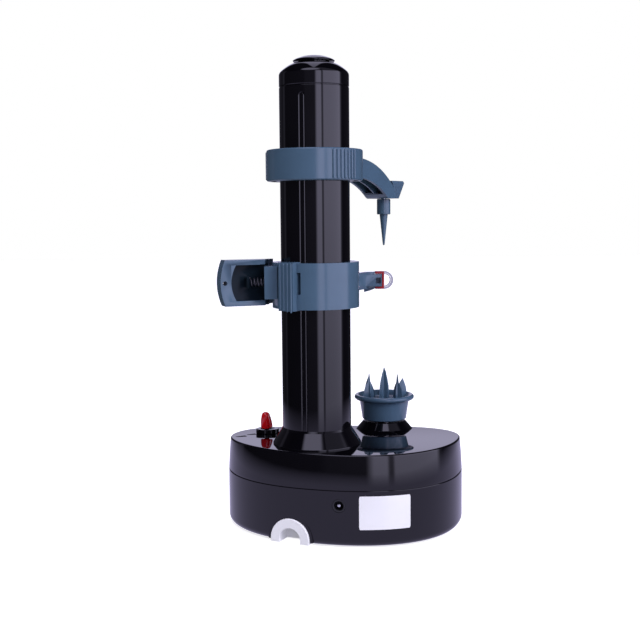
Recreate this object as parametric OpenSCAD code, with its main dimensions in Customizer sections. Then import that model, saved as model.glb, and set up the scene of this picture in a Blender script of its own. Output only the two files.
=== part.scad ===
// Electric potato peeler: an oval motor base, a black column with a lead screw
// inside, a turning food holder, an upper arm with a spinning spike, and a
// carriage whose spring-loaded arm brings the blade to the food.
// Origin: centre of the base outline, on the plane that the feet rest on.
// +X is to the right seen from the label side, +Y away from the label side.

/* [Base] */
// Half length of the oval base
base_half_l = 72.1; // [68:0.5:80]
// Half width of the oval base
base_half_w = 61.1; // [59:0.5:68]
// Turn of the oval's long axis about the vertical
base_turn = -17.3; // [-24:0.5:-12]
// Squareness of the oval (2 is an ellipse)
base_square = 2.2; // [2:0.05:2.6]
// Height of the parting line between the two shells
seam_z = 33.4; // [31.5:0.5:36]
// Height of the crest of the top cover
top_z = 54; // [53:0.25:56]
// Radius of the gentle front-to-back curve of the top cover
top_curve_r = 680; // [500:10:1200]
// Wall thickness of both shells
wall = 2.5; // [2:0.1:3]
// Rounding of the lower edge of the base
foot_round = 4.4; // [3:0.1:5]
// Inward lean of the top cover's wall at its rim
cover_lean = 1.3; // [0:0.1:2]

/* [Column] */
// Column axis, to the right of the base centre
col_x = -17; // [-19:0.25:-15]
// Column axis, behind the base centre
col_y = -26; // [-27:0.25:-24]
// Outer radius of the column
col_r = 20.3; // [19.5:0.1:21]
// Wall thickness of the column
col_wall = 2.5; // [2:0.1:3]
// Height of the joint under the column's cap
cap_z = 261.7; // [255:0.5:275]
// Width of the slot on the food side
slot_w = 10; // [9.6:0.1:11]
// Radius of the flared foot of the column
flare_r = 26.1; // [24:0.1:28]

/* [Food holder] */
// Distance from the column axis to the food axis
reach = 72.5; // [71:0.25:73.5]
// Direction from the column to the food axis
food_turn = 53.13; // [51:0.25:55]
// Radius of the holder's rim
rim_r = 19.2; // [18:0.05:20]
// Height of the underside of the holder cup
cup_z = 57; // [56.9:0.05:58]
// Depth of the cup from its underside to the rim
cup_h = 16; // [14.5:0.25:17]
// Height of the middle spike above the cup's floor
spike_h = 21.1; // [17:0.25:24]

/* [Upper arm] */
// Height of the underside of the arm's ring as shown
arm_z = 208.2; // [204:0.25:215]
// Height of the arm's ring
arm_h = 18; // [16:0.25:20]
// Outer radius of the arm's ring
arm_r = 28; // [27:0.1:30]
// Width of the arm
arm_w = 17; // [15:0.25:19]

/* [Carriage] */
// Height of the underside of the carriage as shown
car_z = 135; // [133:0.25:140]
// Height of the carriage ring
car_h = 26.5; // [26.5:0.25:28]
// Outer radius of the carriage ring
car_r = 25.5; // [25:0.1:26]
// Length of the release lever's wing
wing_l = 30.5; // [29:0.5:31.5]
// Height of the release lever's wing
wing_h = 26.8; // [24:0.2:28]

/* [Blade head] */
// Radius of the round blade guard
guard_r = 5.6; // [5:0.1:6]
// Thickness of the blade's steel
blade_t = 0.6; // [0.5:0.1:0.8]

/* [Gears] */
// Teeth on the spindle gear
spindle_teeth = 32; // [31:1:33]
// Teeth on the lead screw gear
screw_teeth = 24; // [22:1:26]
// Teeth on the idler between them
idler_teeth = 46; // [45:1:48]
// Teeth on the large wheel of the compound gear
wheel_teeth = 40; // [38:1:42]
// Teeth on the small pinion of the compound gear
small_teeth = 12; // [11:1:13]
// Teeth on the motor pinion
motor_teeth = 10; // [10:1:11]

/* [Switch and socket] */
// Switch position along the base, as a share of its half length
switch_share = -0.6699; // [-0.705:0.0001:-0.64]
// Switch position, behind the base centre
switch_y = 10; // [8:0.25:12]
// Lean of the red lever as shown
switch_lean = 13; // [10:0.5:15]
// Height of the power socket's axis
jack_z = 24.7; // [23.5:0.1:26]

/* [Thumb knife] */
// Radius of the arched bay in the base wall
bay_r = 12.6; // [12:0.1:13]
// Depth of the bay
bay_depth = 11; // [10:0.25:12]

/* [Hidden] */
$fn = 64;

// Overrun of every cut, and the clearances used between pieces.
over = 1;
fit_gap = 0.1;
run_gap = 0.05;
slide_gap = 0.08;
face_gap = 0.2;

// Base: outline steps, floor, lip at the seam.
outline_steps = 72;
base_z = 0.8;
floor_top = base_z + wall;
lip_t = 1.1;
lip_h = 2;
groove = 0.6;
round_mid_in = 0.293;
round_mid_up = 0.293;
cover_top = top_z + over;
crest_y = -40;

// Gear layers and the plate above them.
gear_a_z = 7;
gear_a_h = 5;
gear_b_z = 13;
gear_b_h = 3.5;
plate_z = 18;
plate_t = 2;
plate_top = plate_z + plate_t;
plate_inset = 12;
reach_in_mods = 72.5;
fine_share = 0.8;
pressure = 25;
tip_share = 0.8;
root_share = 1;
backlash_share = 0.06;
flank_steps = 3;

// Column details.
col_in = col_r - col_wall;
slot_z0 = 66;
slot_z1 = 258;
flare_top_r = col_r + 0.6;
flare_top_z = 63;
flare_z = 54.6;
cap_shoulder_z = cap_z + 7.3;
cap_bevel_z = cap_shoulder_z + 1.6;
cap_bevel_r = col_r - 1;
cap_top_z = cap_z + 13.7;
cap_top_r = 12.5;
plug_h = 7;
plug_r = col_in - fit_gap;
button_neck_r = 9;
button_r = 12.1;
button_edge = 1;
button_z = cap_top_z + 0.9;
button_edge_z = button_z + 1.2;
button_top_z = cap_z + 18.3;

// Shafts and bushes.
spindle_r = 4;
clip_ring_t = 1;
spindle_z0 = floor_top + face_gap;
spindle_top = cup_z + 7;
bush_r = 5.2;
bush_flange = 0.8;
screw_r = 4;
screw_z0 = floor_top + face_gap;
axle_r = 1.5;
boss_h = 3.2;
boss_r = 7;

// Collar under the food holder.
collar_r = 18.2;
collar_top_r = 13.4;
collar_top_z = cup_z - 1;
collar_neck_r = 9;
collar_neck_z = 42;

// Food holder.
cup_bot_r = 14.15;
cup_top_r = 15.9;
rim_t = 1.65;
cup_skin = 2;
cup_hub_r = 7;
rim_z = cup_z + cup_h - rim_t;
rim_lip = 0.8;
dish_z = rim_z - 1.8;
spike_ring_r = 10.5;
low_ring_r = 11.6;
spike_fin = 4.2;
spike_waist = 1.3;
spike_side_share = 0.8;
spike_turn = 20;
tall_h = spike_h - 3.4;
low_h = spike_h - 8.2;
spike_point_share = 0.08;

// Upper arm, in the column's frame with X towards the food axis.
arm_top = arm_z + arm_h;
arm_in = col_r + slide_gap;
arm_skin = 2.5;
arm_edge = 1;
arm_side_t = 2;
arm_roof_t = 2.2;
crown_x = reach - 41.5;
crown_z = arm_z - 42.4;
crown_r = 57;
belly_x = reach - 39.5;
belly_z = arm_z - 47.2;
belly_r = 49.6;
pad_z = arm_z - 9.5;
pad_t = 2.5;
pad_x0 = reach - 6.7;
pad_x1 = reach + 4.9;
tab_x = reach + 11.2;
tab_z = arm_z;
tab_top_z = arm_z + 1.6;
tab_edge = 1;
tab_back_x = reach - 3.5;
grip_turn = 105;
grip_ribs = 7;
grip_pitch = 5.2;
grip_rib_r = 0.7;
key_gap = 0.15;
key_in = col_r - 2;

// Upper spike.
boss_spike_r = 4.3;
boss_spike_h = 9.8;
spike_root_r = 2.6;
spike_l = 19.4;
spike_tip_r = 0.6;
spike_pin_r = 1.5;
pin_head_r = 3;
pin_head_h = 1.2;
pin_sunk = 6;

// Carriage, in the column's frame with X to the right (not turned).
car_in = col_r + slide_gap;
car_top = car_z + car_h;
window_z0 = car_z + 8.6;
window_z1 = car_z + 18.4;
window_from = -11;
window_to = 130;
rest_w = 10.4;
rest_out = car_r + 3;
rest_low = 0.6;
rest_ribs = 4;
rest_rib_r = 0.5;
side_slot_w = 2.4;
side_slot_h = 12.5;
block_x0 = -29.4;
block_x1 = -22;
block_y0 = -15;
block_y1 = -1;
block_z0 = car_z + 5.7;
block_z1 = car_z + 24.5;
ear_t = 3.6;
lever_pin_r = 30;
arm_pin = [22.5, 19.5];
lever_knuckle_r = 4.5;
arm_knuckle_r = 3.2;
hinge_r = 1.5;
ear_gap = 0.3;
arm_knuckle_z0 = car_z + 7.2;
arm_knuckle_z1 = car_z + 19;

// Release lever.
wing_z = car_z + 1.4;
wing_turn = 200;
wing_root = [-29, 5];
wing_skin = 2;
wing_depth = 9;
wing_flange = 3;
wing_pad = 6.4;
wing_end_r = 34;
wing_hole_r = 1.3;
wing_hole_in = 2.7;
wing_clear_x = -32.3;
wing_end_x = -29.5;
wing_web_in = 1;
wing_web_from = 6.5;
wing_clear_y = 1.6;
spring_rib_x = -38.6;
spring_rib_t = 1.6;
spring_rib_h = 6.6;
bar_r0 = col_r + 1;
bar_r1 = bar_r0 + 3.6;
bar_key_w = 5;
bar_key_y = -0.9;
bar_from = -9;
bar_to = 97;
nut_open = 0.5;
nut_w = 9;
nut_x = 10;

// Release spring (a form: one unbroken open coil).
spring_r = 2.4;
spring_wire = 0.7;
spring_turns = 4;
spring_y = -4;
spring_z = car_z + 15;
ring_steps = 8;
ring_sides = 6;

// Torsion spring round the blade arm's pin (a form).
twist_r = 2.4;
twist_wire = 0.5;
twist_turns = 2;
twist_l = 3.4;

// Blade arm and head, in the column's frame with X to the right.
head_x0 = 30;
head_x1 = 40.5;
head_y = 33.5;
head_t = 4;
head_z = car_z + 13;
head_h = 7.2;
bar_h = 10.4;
bar_t = 3.5;
tongue_x = 41;
tongue_h = 7.4;
hole_x = 38.6;
hole_w = 3;
hole_h = 3.6;
gusset_x = 34;
gusset_drop = 2.2;
clip_x0 = 36.8;
clip_x1 = 42.5;
clip_h = 11;
clip_t = 1.6;
clip_deep = 5.8;
guard_t = 3;
guard_band = 1.1;
blade_w = 2.5;

// Switch.
switch_pivot_z = 50.5;
// The lever swings across the base, from front to back.
switch_turn = 90 + base_turn;
collar_lobe_r = 5.2;
collar_lobe = 2;
collar_h = 3.2;
neck_r = 4.1;
neck_in = 3.2;
switch_pin_r = 0.8;
stem_r = 1.5;
cap_low = 6.2;
cap_len = 7.3;
cap_r0 = 3.7;
cap_r1 = 2.7;
switch_l = 13;
switch_d = 8;
switch_h = 12;

// Power socket and rating plate, placed by their angle on the outline.
jack_t = -80.9;
jack_nose_r = 3.9;
jack_hole_r = 2.75;
jack_body_w = 9;
jack_body_l = 12;
jack_body_h = 9;
jack_pin_r = 1;
jack_pin_l = 8;
jack_seat = 0.35;
plate_angle_t = -59.5;
label_w = 29.6;
label_h = 19.3;
label_z = 11.2;
label_t = 0.25;

// Thumb knife, placed by its angle on the outline.
bay_t = -100.9;
bay_z = 2.8;
bay_wall = 1.6;
grip_gap = 0.35;
grip_hole_r = 6.6;
grip_proud = 0.8;
grip_web = 1.6;
edge_w = 8;
edge_t = 1;
edge_l = 9;
edge_z = 4.2;

// Feet and screws, in the base's own turned frame.
foot_r = 6;
foot_h = 2;
foot_x_share = 0.693;
foot_y_share = 0.458;
post_r = 4;
post_site_shares = [[-0.59, -0.63], [-0.8, 0.29], [0.52, -0.65], [0.81, 0.126]];
screw_shank_r = 1.4;
screw_head_r = 2.8;
screw_head_h = 2;
screw_web_z = 26;
screw_len = 14;
plate_site_shares = [[-0.59, -0.08], [0.59, 0.285], [0.645, -0.24], [-0.605, 0.31]];
plate_post_r = 3.2;
plate_screw_l = 7;
motor_r = 12;
motor_h = 24.5;
motor_shaft_r = 1;
motor_boss_r = 3;
motor_boss_h = 1.2;
motor_screw_x = 8;
motor_head_h = 1;

// Places worked out from the driving sizes.
post_sites = [for (p = post_site_shares) [p[0] * base_half_l, p[1] * base_half_w]];
plate_sites = [for (p = plate_site_shares) [p[0] * base_half_l, p[1] * base_half_w]];
foot_x = foot_x_share * base_half_l;
foot_y = foot_y_share * base_half_w;
mod_a = reach / reach_in_mods;
mod_b = mod_a * fine_share;
switch_x = switch_share * base_half_l;
col = [col_x, col_y];
food = [col_x + reach * cos(food_turn), col_y + reach * sin(food_turn)];
spindle_pitch = mod_a * spindle_teeth / 2;
screw_pitch = mod_a * screw_teeth / 2;
idler_pitch = mod_a * idler_teeth / 2;
small_pitch = mod_a * small_teeth / 2;
wheel_pitch = mod_b * wheel_teeth / 2;
motor_pitch = mod_b * motor_teeth / 2;
// The idler sits at the corner of the triangle that its two meshes make.
leg_f = spindle_pitch + idler_pitch;
leg_c = screw_pitch + idler_pitch;
idler_bend = acos((reach * reach + leg_f * leg_f - leg_c * leg_c) / (2 * reach * leg_f));
idler_turn = food_turn + 180 + idler_bend;
idler = [food[0] + leg_f * cos(idler_turn), food[1] + leg_f * sin(idler_turn)];
compound_turn = 180;
compound = [food[0] + (spindle_pitch + small_pitch) * cos(compound_turn),
    food[1] + (spindle_pitch + small_pitch) * sin(compound_turn)];
motor_turn = 188.6;
motor = [compound[0] + (wheel_pitch + motor_pitch) * cos(motor_turn),
    compound[1] + (wheel_pitch + motor_pitch) * sin(motor_turn)];
lever_pin = [-lever_pin_r * sin(food_turn), lever_pin_r * cos(food_turn)];
collar_top = cover_z(switch_y) + collar_h;
// Phases that put a tooth of one gear in a gap of the next.
function mesh_phase(turn, phase, teeth, next) =
    turn + 180 + (180 - (phase - turn) * teeth) / next;
spindle_phase = 0;
idler_phase = mesh_phase(idler_turn, spindle_phase, spindle_teeth, idler_teeth);
to_screw_turn = atan2(col_y - idler[1], col_x - idler[0]);
screw_phase = mesh_phase(to_screw_turn, idler_phase, idler_teeth, screw_teeth);
small_phase = mesh_phase(compound_turn, spindle_phase, spindle_teeth, small_teeth);
wheel_phase = 0;
motor_phase = mesh_phase(motor_turn, wheel_phase, wheel_teeth, motor_teeth);

// The oval outline: a superellipse turned about the vertical.
function sgn_pow(v, p) = sign(v) * pow(abs(v), p);
function oval_local(t, inset) = [
    (base_half_l - inset) * sgn_pow(cos(t), 2 / base_square),
    (base_half_w - inset) * sgn_pow(sin(t), 2 / base_square)];
function turned(p, a) = [p[0] * cos(a) - p[1] * sin(a), p[0] * sin(a) + p[1] * cos(a)];
function oval_at(t, inset) = turned(oval_local(t, inset), base_turn);
function oval_facing(t) = base_turn + atan2(
    sgn_pow(sin(t), 2 - 2 / base_square) / base_half_w,
    sgn_pow(cos(t), 2 - 2 / base_square) / base_half_l);
// Height of the cover's top surface at a distance behind the base centre.
function cover_z(y) = top_z - top_curve_r
    + sqrt(top_curve_r * top_curve_r - (y - crest_y) * (y - crest_y));

module outline(inset = 0) {
    polygon([for (i = [0 : outline_steps - 1]) oval_at(360 * i / outline_steps, inset)]);
}

// A cylinder or cone between two heights.
module rod(r, z0, z1, r2 = undef) {
    translate([0, 0, z0]) cylinder(r1 = r, r2 = is_undef(r2) ? r : r2, h = z1 - z0);
}

// A tube between two heights.
module pipe(r_out, r_in, z0, z1) {
    difference() {
        rod(r_out, z0, z1);
        rod(r_in, z0 - over, z1 + over);
    }
}

module at_col() { translate([col[0], col[1], 0]) children(); }
module at_food() { translate([food[0], food[1], 0]) children(); }
module at_site(p) { translate([p[0], p[1], 0]) children(); }
// The column's frame with X towards the food axis.
module to_food() { at_col() rotate([0, 0, food_turn]) children(); }
// A frame on the base wall with X pointing out of it.
module on_wall(t) {
    p = oval_at(t, 0);
    translate([p[0], p[1], 0]) rotate([0, 0, oval_facing(t)]) children();
}
// The same for a cylinder along X.
module along_x(r, x0, x1) {
    translate([x0, 0, 0]) rotate([0, 90, 0]) cylinder(r = r, h = x1 - x0);
}
// The same along Y.
module along_y(r, y0, y1) {
    rotate([-90, 0, 0]) rod(r, y0, y1);
}
// A box given by its two corners.
module slab(a, b) {
    translate(a) cube([b[0] - a[0], b[1] - a[1], b[2] - a[2]]);
}

// Everything under the cover's curved top, the curve lowered by a depth.
module under_cover(depth) {
    span = 4 * base_half_l;
    translate([-span / 2, crest_y, top_z - top_curve_r]) rotate([0, 90, 0])
        cylinder(r = top_curve_r - depth, h = span, $fn = 360);
}

// Involute gear outline and solid.
function inv(a) = tan(a) * 180 / PI - a;
function tooth_half(teeth, m, r) = 90 / teeth * (1 - backlash_share) + inv(pressure)
    - inv(acos(min(1, m * teeth / 2 * cos(pressure) / r)));
function flank(teeth, m, side) = [for (k = [0 : flank_steps])
    let (base = m * teeth / 2 * cos(pressure),
        low = max(base, m * teeth / 2 - m * root_share),
        high = m * teeth / 2 + m * tip_share,
        r = side > 0 ? high - (high - low) * k / flank_steps
            : low + (high - low) * k / flank_steps)
    [r, side * tooth_half(teeth, m, r)]];
module gear_outline(teeth, m) {
    root = m * teeth / 2 - m * root_share;
    half_root = tooth_half(teeth, m, max(root, m * teeth / 2 * cos(pressure)));
    spots = concat([[root, -half_root]], flank(teeth, m, -1), flank(teeth, m, 1), [[root, half_root]]);
    polygon([for (i = [0 : teeth - 1]) for (s = spots)
        [s[0] * cos(s[1] + 360 * i / teeth), s[0] * sin(s[1] + 360 * i / teeth)]]);
}
module gear(teeth, m, phase, bore, z0, h) {
    difference() {
        translate([0, 0, z0]) rotate([0, 0, phase]) linear_extrude(height = h) gear_outline(teeth, m);
        rod(bore, z0 - over, z0 + h + over);
    }
}

// Points of an open coil along Z whose ends run straight for one wire diameter.
function coil_point(r, wire, turns, length, k) =
    let (n = turns * ring_steps, a = 360 * k / ring_steps,
        z = wire + (length - 2 * wire) * k / n)
    k < 0 ? [r, 0, 0] : k > n ? [r, 0, length] : [r * cos(a), r * sin(a), z];
function unit(v) = v / norm(v);
// One unbroken tube through the coil's points.
module coil(r, wire, turns, length) {
    n = turns * ring_steps;
    spine = [for (k = [-1 : n + 1]) coil_point(r, wire, turns, length, k)];
    last = len(spine) - 1;
    rings = [for (i = [0 : last])
        let (d = unit(spine[min(last, i + 1)] - spine[max(0, i - 1)]),
            flat = i == 0 || i == last,
            t = flat ? [0, 0, 1] : d,
            c = spine[i],
            u = unit([c[0], c[1], 0]),
            side = unit(cross(t, u)),
            out = cross(side, t))
        for (j = [0 : ring_sides - 1])
            c + wire / 2 * (cos(360 * j / ring_sides) * out + sin(360 * j / ring_sides) * side)];
    faces = concat(
        [[for (j = [ring_sides - 1 : -1 : 0]) j]],
        [for (i = [0 : last - 1]) for (j = [0 : ring_sides - 1]) for (half = [0, 1])
            let (a = i * ring_sides + j, b = i * ring_sides + (j + 1) % ring_sides)
            half == 0 ? [a, b, b + ring_sides] : [a, b + ring_sides, a + ring_sides]],
        [[for (j = [0 : ring_sides - 1]) last * ring_sides + j]]);
    gaps = [for (i = [0 : last]) for (k = [i + ring_steps / 2 : last]) norm(spine[i] - spine[k]) - wire];
    echo(coil_gap_mm = min(gaps));
    polyhedron(points = rings, faces = faces);
}

// Lower shell: floor, wall, bosses, screw posts and the thumb knife's bay.
module shell_blank() {
    mid_in = foot_round * round_mid_in;
    mid_up = foot_round * round_mid_up;
    hull() {
        translate([0, 0, base_z]) linear_extrude(height = fit_gap) outline(foot_round);
        translate([0, 0, base_z + mid_up]) linear_extrude(height = fit_gap) outline(mid_in);
    }
    hull() {
        translate([0, 0, base_z + mid_up]) linear_extrude(height = fit_gap) outline(mid_in);
        translate([0, 0, base_z + foot_round]) linear_extrude(height = fit_gap) outline();
    }
    translate([0, 0, base_z + foot_round]) linear_extrude(height = seam_z - base_z - foot_round) outline();
}
module shell_lip() {
    translate([0, 0, seam_z - lip_h]) linear_extrude(height = 2 * lip_h) difference() {
        outline(wall - lip_t);
        outline(wall + lip_t);
    }
}
module base_posts(z1) {
    rotate([0, 0, base_turn]) for (p = post_sites) at_site(p) rod(post_r, base_z + wall / 2, z1);
}
module knife_sleeve() {
    intersection() {
        linear_extrude(height = seam_z) outline(wall / 2);
        on_wall(bay_t) {
            intersection() {
                translate([0, 0, bay_z]) along_x(bay_r + bay_wall, -bay_depth - bay_wall, 0);
                slab([-bay_depth - bay_wall, -bay_r - bay_wall, base_z + wall / 2], [0, bay_r + bay_wall, seam_z]);
            }
            slab([-bay_depth - edge_l - bay_wall, -edge_w / 2 - bay_wall, base_z + wall / 2],
                [-bay_depth, edge_w / 2 + bay_wall, edge_z + edge_t + bay_wall - fit_gap]);
        }
    }
}
module lower_shell() {
    color("#15141c") difference() {
        union() {
            difference() {
                shell_blank();
                translate([0, 0, floor_top]) linear_extrude(height = seam_z) outline(wall);
            }
            shell_lip();
            base_posts(seam_z - fit_gap);
            at_food() rod(boss_r, floor_top - wall / 2, floor_top + boss_h);
            at_col() rod(boss_r, floor_top - wall / 2, floor_top + boss_h);
            at_site(idler) rod(boss_r / 2, floor_top - wall / 2, floor_top + boss_h);
            at_site(compound) rod(boss_r / 2, floor_top - wall / 2, floor_top + boss_h);
            rotate([0, 0, base_turn]) for (p = plate_sites) at_site(p)
                rod(plate_post_r, floor_top - wall / 2, plate_z);
            knife_sleeve();
        }
        // Bay and slot of the thumb knife.
        on_wall(bay_t) {
            translate([0, 0, bay_z]) along_x(bay_r, -bay_depth, foot_round + over);
            slab([-bay_depth - edge_l, -edge_w / 2 - fit_gap, edge_z - fit_gap],
                [-bay_depth + over, edge_w / 2 + fit_gap, edge_z + edge_t + fit_gap]);
        }
        // Bearing seats, blind from above.
        at_food() rod(bush_r, floor_top, floor_top + boss_h + over);
        at_col() rod(bush_r, floor_top, floor_top + boss_h + over);
        at_site(idler) rod(axle_r, floor_top, floor_top + boss_h + over);
        at_site(compound) rod(axle_r, floor_top, floor_top + boss_h + over);
        rotate([0, 0, base_turn]) for (p = plate_sites) at_site(p)
            rod(screw_shank_r, plate_z - plate_screw_l, plate_z + over);
        // Socket hole.
        on_wall(jack_t) translate([0, 0, jack_z]) along_x(jack_nose_r, -wall - over, over);
        rotate([0, 0, base_turn]) {
            for (sx = [-1, 1]) for (sy = [-1, 1])
                at_site([sx * foot_x, sy * foot_y]) rod(foot_r, 0, foot_h);
            for (p = post_sites) at_site(p) {
                rod(screw_head_r + fit_gap, 0, screw_web_z);
                rod(screw_shank_r + fit_gap, screw_web_z - over, seam_z + over);
            }
        }
    }
}

// Upper shell: the curved cover with its holes and screw posts.
module cover_blank(inset, z0) {
    hull() {
        translate([0, 0, z0]) linear_extrude(height = fit_gap) outline(inset);
        translate([0, 0, cover_top]) linear_extrude(height = fit_gap) outline(inset + cover_lean);
    }
}
module upper_shell() {
    color("#17161f") difference() {
        union() {
            difference() {
                intersection() {
                    cover_blank(0, seam_z);
                    under_cover(0);
                }
                intersection() {
                    cover_blank(wall, seam_z - over);
                    under_cover(wall);
                }
            }
            intersection() {
                rotate([0, 0, base_turn]) for (p = post_sites) at_site(p) rod(post_r, seam_z + fit_gap, cover_top);
                under_cover(wall / 2);
            }
        }
        // Rebate that takes the lower shell's lip, and the shadow groove.
        translate([0, 0, seam_z - over]) linear_extrude(height = over + lip_h + fit_gap) difference() {
            outline(wall - lip_t - fit_gap);
            outline(wall + lip_t + fit_gap);
        }
        translate([0, 0, seam_z - over]) linear_extrude(height = over + groove) difference() {
            outline(-over);
            outline(groove);
        }
        at_col() rod(col_r + fit_gap, seam_z, cover_top + over);
        at_food() rod(collar_neck_r + fit_gap, seam_z, cover_top + over);
        translate([switch_x, switch_y, 0]) rod(neck_r + fit_gap, seam_z, cover_top + over);
        rotate([0, 0, base_turn]) for (p = post_sites) at_site(p)
            rod(screw_shank_r, seam_z - over, screw_web_z + screw_len + over);
    }
}

// Column: a tube standing on the gear plate, with a flared foot on the cover.
module column_tube() {
    color("#0f0e15") difference() {
        union() {
            at_col() rod(col_r, plate_top, cap_z);
            difference() {
                at_col() union() {
                    rod(flare_r, seam_z, flare_z);
                    rod(flare_r, flare_z, flare_top_z, flare_top_r);
                }
                under_cover(0);
            }
        }
        at_col() rod(col_in, plate_top - over, cap_z + over);
        to_food() slab([0, -slot_w / 2, slot_z0], [col_r + over, slot_w / 2, slot_z1]);
    }
}
module tower_cap() {
    color("#121119") at_col() difference() {
        union() {
            rotate_extrude() polygon([[0, cap_z], [col_r, cap_z], [col_r, cap_shoulder_z],
                [cap_bevel_r, cap_bevel_z], [cap_top_r, cap_top_z], [0, cap_top_z]]);
            rod(plug_r, cap_z - plug_h, cap_z);
        }
        rod(bush_r, cap_z - plug_h - over, cap_z);
    }
}
module cap_disc() {
    color("#1b1a24") at_col() rotate_extrude() polygon([[0, cap_top_z], [button_neck_r, cap_top_z],
        [button_neck_r, button_z], [button_r - button_edge, button_z], [button_r, button_edge_z],
        [button_r - 2 * button_edge, button_top_z - button_edge], [button_neck_r / 2, button_top_z],
        [0, button_top_z]]);
}
module spindle_collar() {
    color("#111016") difference() {
        union() {
            difference() {
                at_food() rod(collar_r, cover_z(food[1] + collar_r), collar_top_z, collar_top_r);
                under_cover(0);
            }
            at_food() rod(collar_neck_r, collar_neck_z, collar_top_z - fit_gap);
        }
        at_food() rod(bush_r, collar_neck_z - over, collar_top_z + over);
    }
}

// Plate over the gears, which carries the motor and the column.
module gear_plate() {
    color("#b9bcc0") difference() {
        translate([0, 0, plate_z]) linear_extrude(height = plate_t) outline(plate_inset);
        at_food() rod(bush_r, plate_z - over, plate_top + over);
        at_col() rod(screw_r + over, plate_z - over, plate_top + over);
        at_site(idler) rod(axle_r, plate_z - over, plate_top + over);
        at_site(compound) rod(axle_r, plate_z - over, plate_top + over);
        rotate([0, 0, base_turn]) {
            for (p = plate_sites) at_site(p) rod(screw_shank_r + fit_gap, plate_z - over, plate_top + over);
            for (p = post_sites) at_site(p) rod(post_r + ear_gap, plate_z - over, plate_top + over);
        }
        at_site(motor) {
            rod(motor_boss_r + fit_gap, plate_z - over, plate_top + over);
            for (sx = [-1, 1]) translate([sx * motor_screw_x, 0, 0])
                rod(motor_shaft_r + fit_gap, plate_z - over, plate_top + over);
        }
    }
}
module bush(z0, z1, bore) {
    pipe(bush_r, bore + run_gap, z0, z1);
}
module screw_bushes() {
    color("#b08d4a") at_col() {
        bush(floor_top, floor_top + boss_h, screw_r);
        bush(cap_z - plug_h, cap_z, screw_r);
    }
}
module spindle_bushes() {
    color("#b08d4a") at_food() {
        bush(floor_top, floor_top + boss_h, spindle_r);
        bush(plate_z, plate_top, spindle_r);
        bush(collar_neck_z, collar_top_z, spindle_r);
    }
}
module gear_axles() {
    color("#c8cacd") for (p = [idler, compound]) at_site(p) rod(axle_r, floor_top, plate_top);
}

// Motor standing on the plate with its pinion below.
module motor_case() {
    color("#9a9ca0") at_site(motor) difference() {
        union() {
            rod(motor_r, plate_top, plate_top + motor_h);
            rod(motor_boss_r, plate_top - motor_boss_h, plate_top);
        }
        rod(motor_shaft_r + run_gap, plate_z - over, plate_top + motor_h / 2);
        for (sx = [-1, 1]) translate([sx * motor_screw_x, 0, 0])
            rod(motor_shaft_r, plate_top - over, plate_top + wall);
    }
}
module motor_shaft() {
    color("#d0d2d4") at_site(motor) rod(motor_shaft_r, gear_b_z, plate_top + motor_h / 2 - face_gap);
}
module motor_pinion() {
    color("#d9c27a") at_site(motor) gear(motor_teeth, mod_b, motor_phase, motor_shaft_r, gear_b_z, gear_b_h);
}
module motor_screws() {
    color("#8d9094") at_site(motor) for (sx = [-1, 1]) translate([sx * motor_screw_x, 0, 0]) {
        rod(motor_shaft_r, plate_z, plate_top + wall - face_gap);
        rod(motor_shaft_r * 2, plate_z - motor_head_h, plate_z);
    }
}
module compound_gear() {
    color("#e8e6df") at_site(compound) {
        gear(small_teeth, mod_a, small_phase, axle_r + run_gap, gear_a_z, gear_b_z - gear_a_z);
        gear(wheel_teeth, mod_b, wheel_phase, axle_r + run_gap, gear_b_z, gear_b_h);
    }
}
module idler_gear() {
    color("#e8e6df") at_site(idler) {
        gear(idler_teeth, mod_a, idler_phase, axle_r + run_gap, gear_a_z, gear_a_h);
        pipe(2 * axle_r, axle_r + run_gap, gear_a_z, plate_z - face_gap);
    }
}
module screw_gear() {
    color("#e8e6df") at_col() gear(screw_teeth, mod_a, screw_phase, screw_r, gear_a_z, gear_a_h);
}
module lead_screw() {
    color("#c9ccd1") at_col() rod(screw_r, screw_z0, cap_z - face_gap);
}
module spindle_gear() {
    color("#e8e6df") at_food() gear(spindle_teeth, mod_a, spindle_phase, spindle_r, gear_a_z, gear_a_h);
}
module spindle_shaft() {
    color("#c9ccd1") at_food() rod(spindle_r, spindle_z0, spindle_top);
}
module spindle_clip() {
    color("#777b80") at_food() pipe(bush_r, spindle_r, gear_a_z + gear_a_h, gear_a_z + gear_a_h + clip_ring_t);
}

// Food holder: a cup with a rolled rim, a middle spike and a ring of spikes.
module spike(h, fin) {
    star = [for (i = [0 : 7]) let (r = i % 2 == 0 ? fin : spike_waist) [r * cos(45 * i), r * sin(45 * i)]];
    linear_extrude(height = h, scale = spike_point_share) polygon(star);
}
module food_holder() {
    color("#50647d") at_food() difference() {
        union() {
            rotate_extrude() difference() {
                union() {
                    polygon([[0, cup_z], [cup_bot_r, cup_z], [cup_top_r, rim_z - rim_t],
                        [rim_r - rim_t, rim_z - rim_t], [rim_r - rim_t, rim_z + rim_t],
                        [rim_r - 2 * rim_t, rim_z + rim_lip], [cup_bot_r - rim_lip, dish_z], [0, dish_z]]);
                    translate([rim_r - rim_t, rim_z]) circle(r = rim_t, $fn = 24);
                }
                polygon([[cup_hub_r, cup_z - over], [cup_bot_r - cup_skin, cup_z - over],
                    [cup_top_r - cup_skin, dish_z - cup_skin], [cup_hub_r, dish_z - cup_skin]]);
            }
            translate([0, 0, dish_z - fit_gap]) spike(spike_h, spike_fin);
            for (i = [0 : 2]) rotate([0, 0, spike_turn + 60 + 120 * i]) translate([spike_ring_r, 0, dish_z - fit_gap])
                spike(tall_h, spike_fin * spike_side_share);
            for (i = [0 : 2]) rotate([0, 0, spike_turn + 120 * i]) translate([low_ring_r, 0, dish_z - fit_gap])
                spike(low_h, spike_fin * spike_side_share);
        }
        rod(spindle_r, cup_z - over, spindle_top);
    }
}

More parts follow.
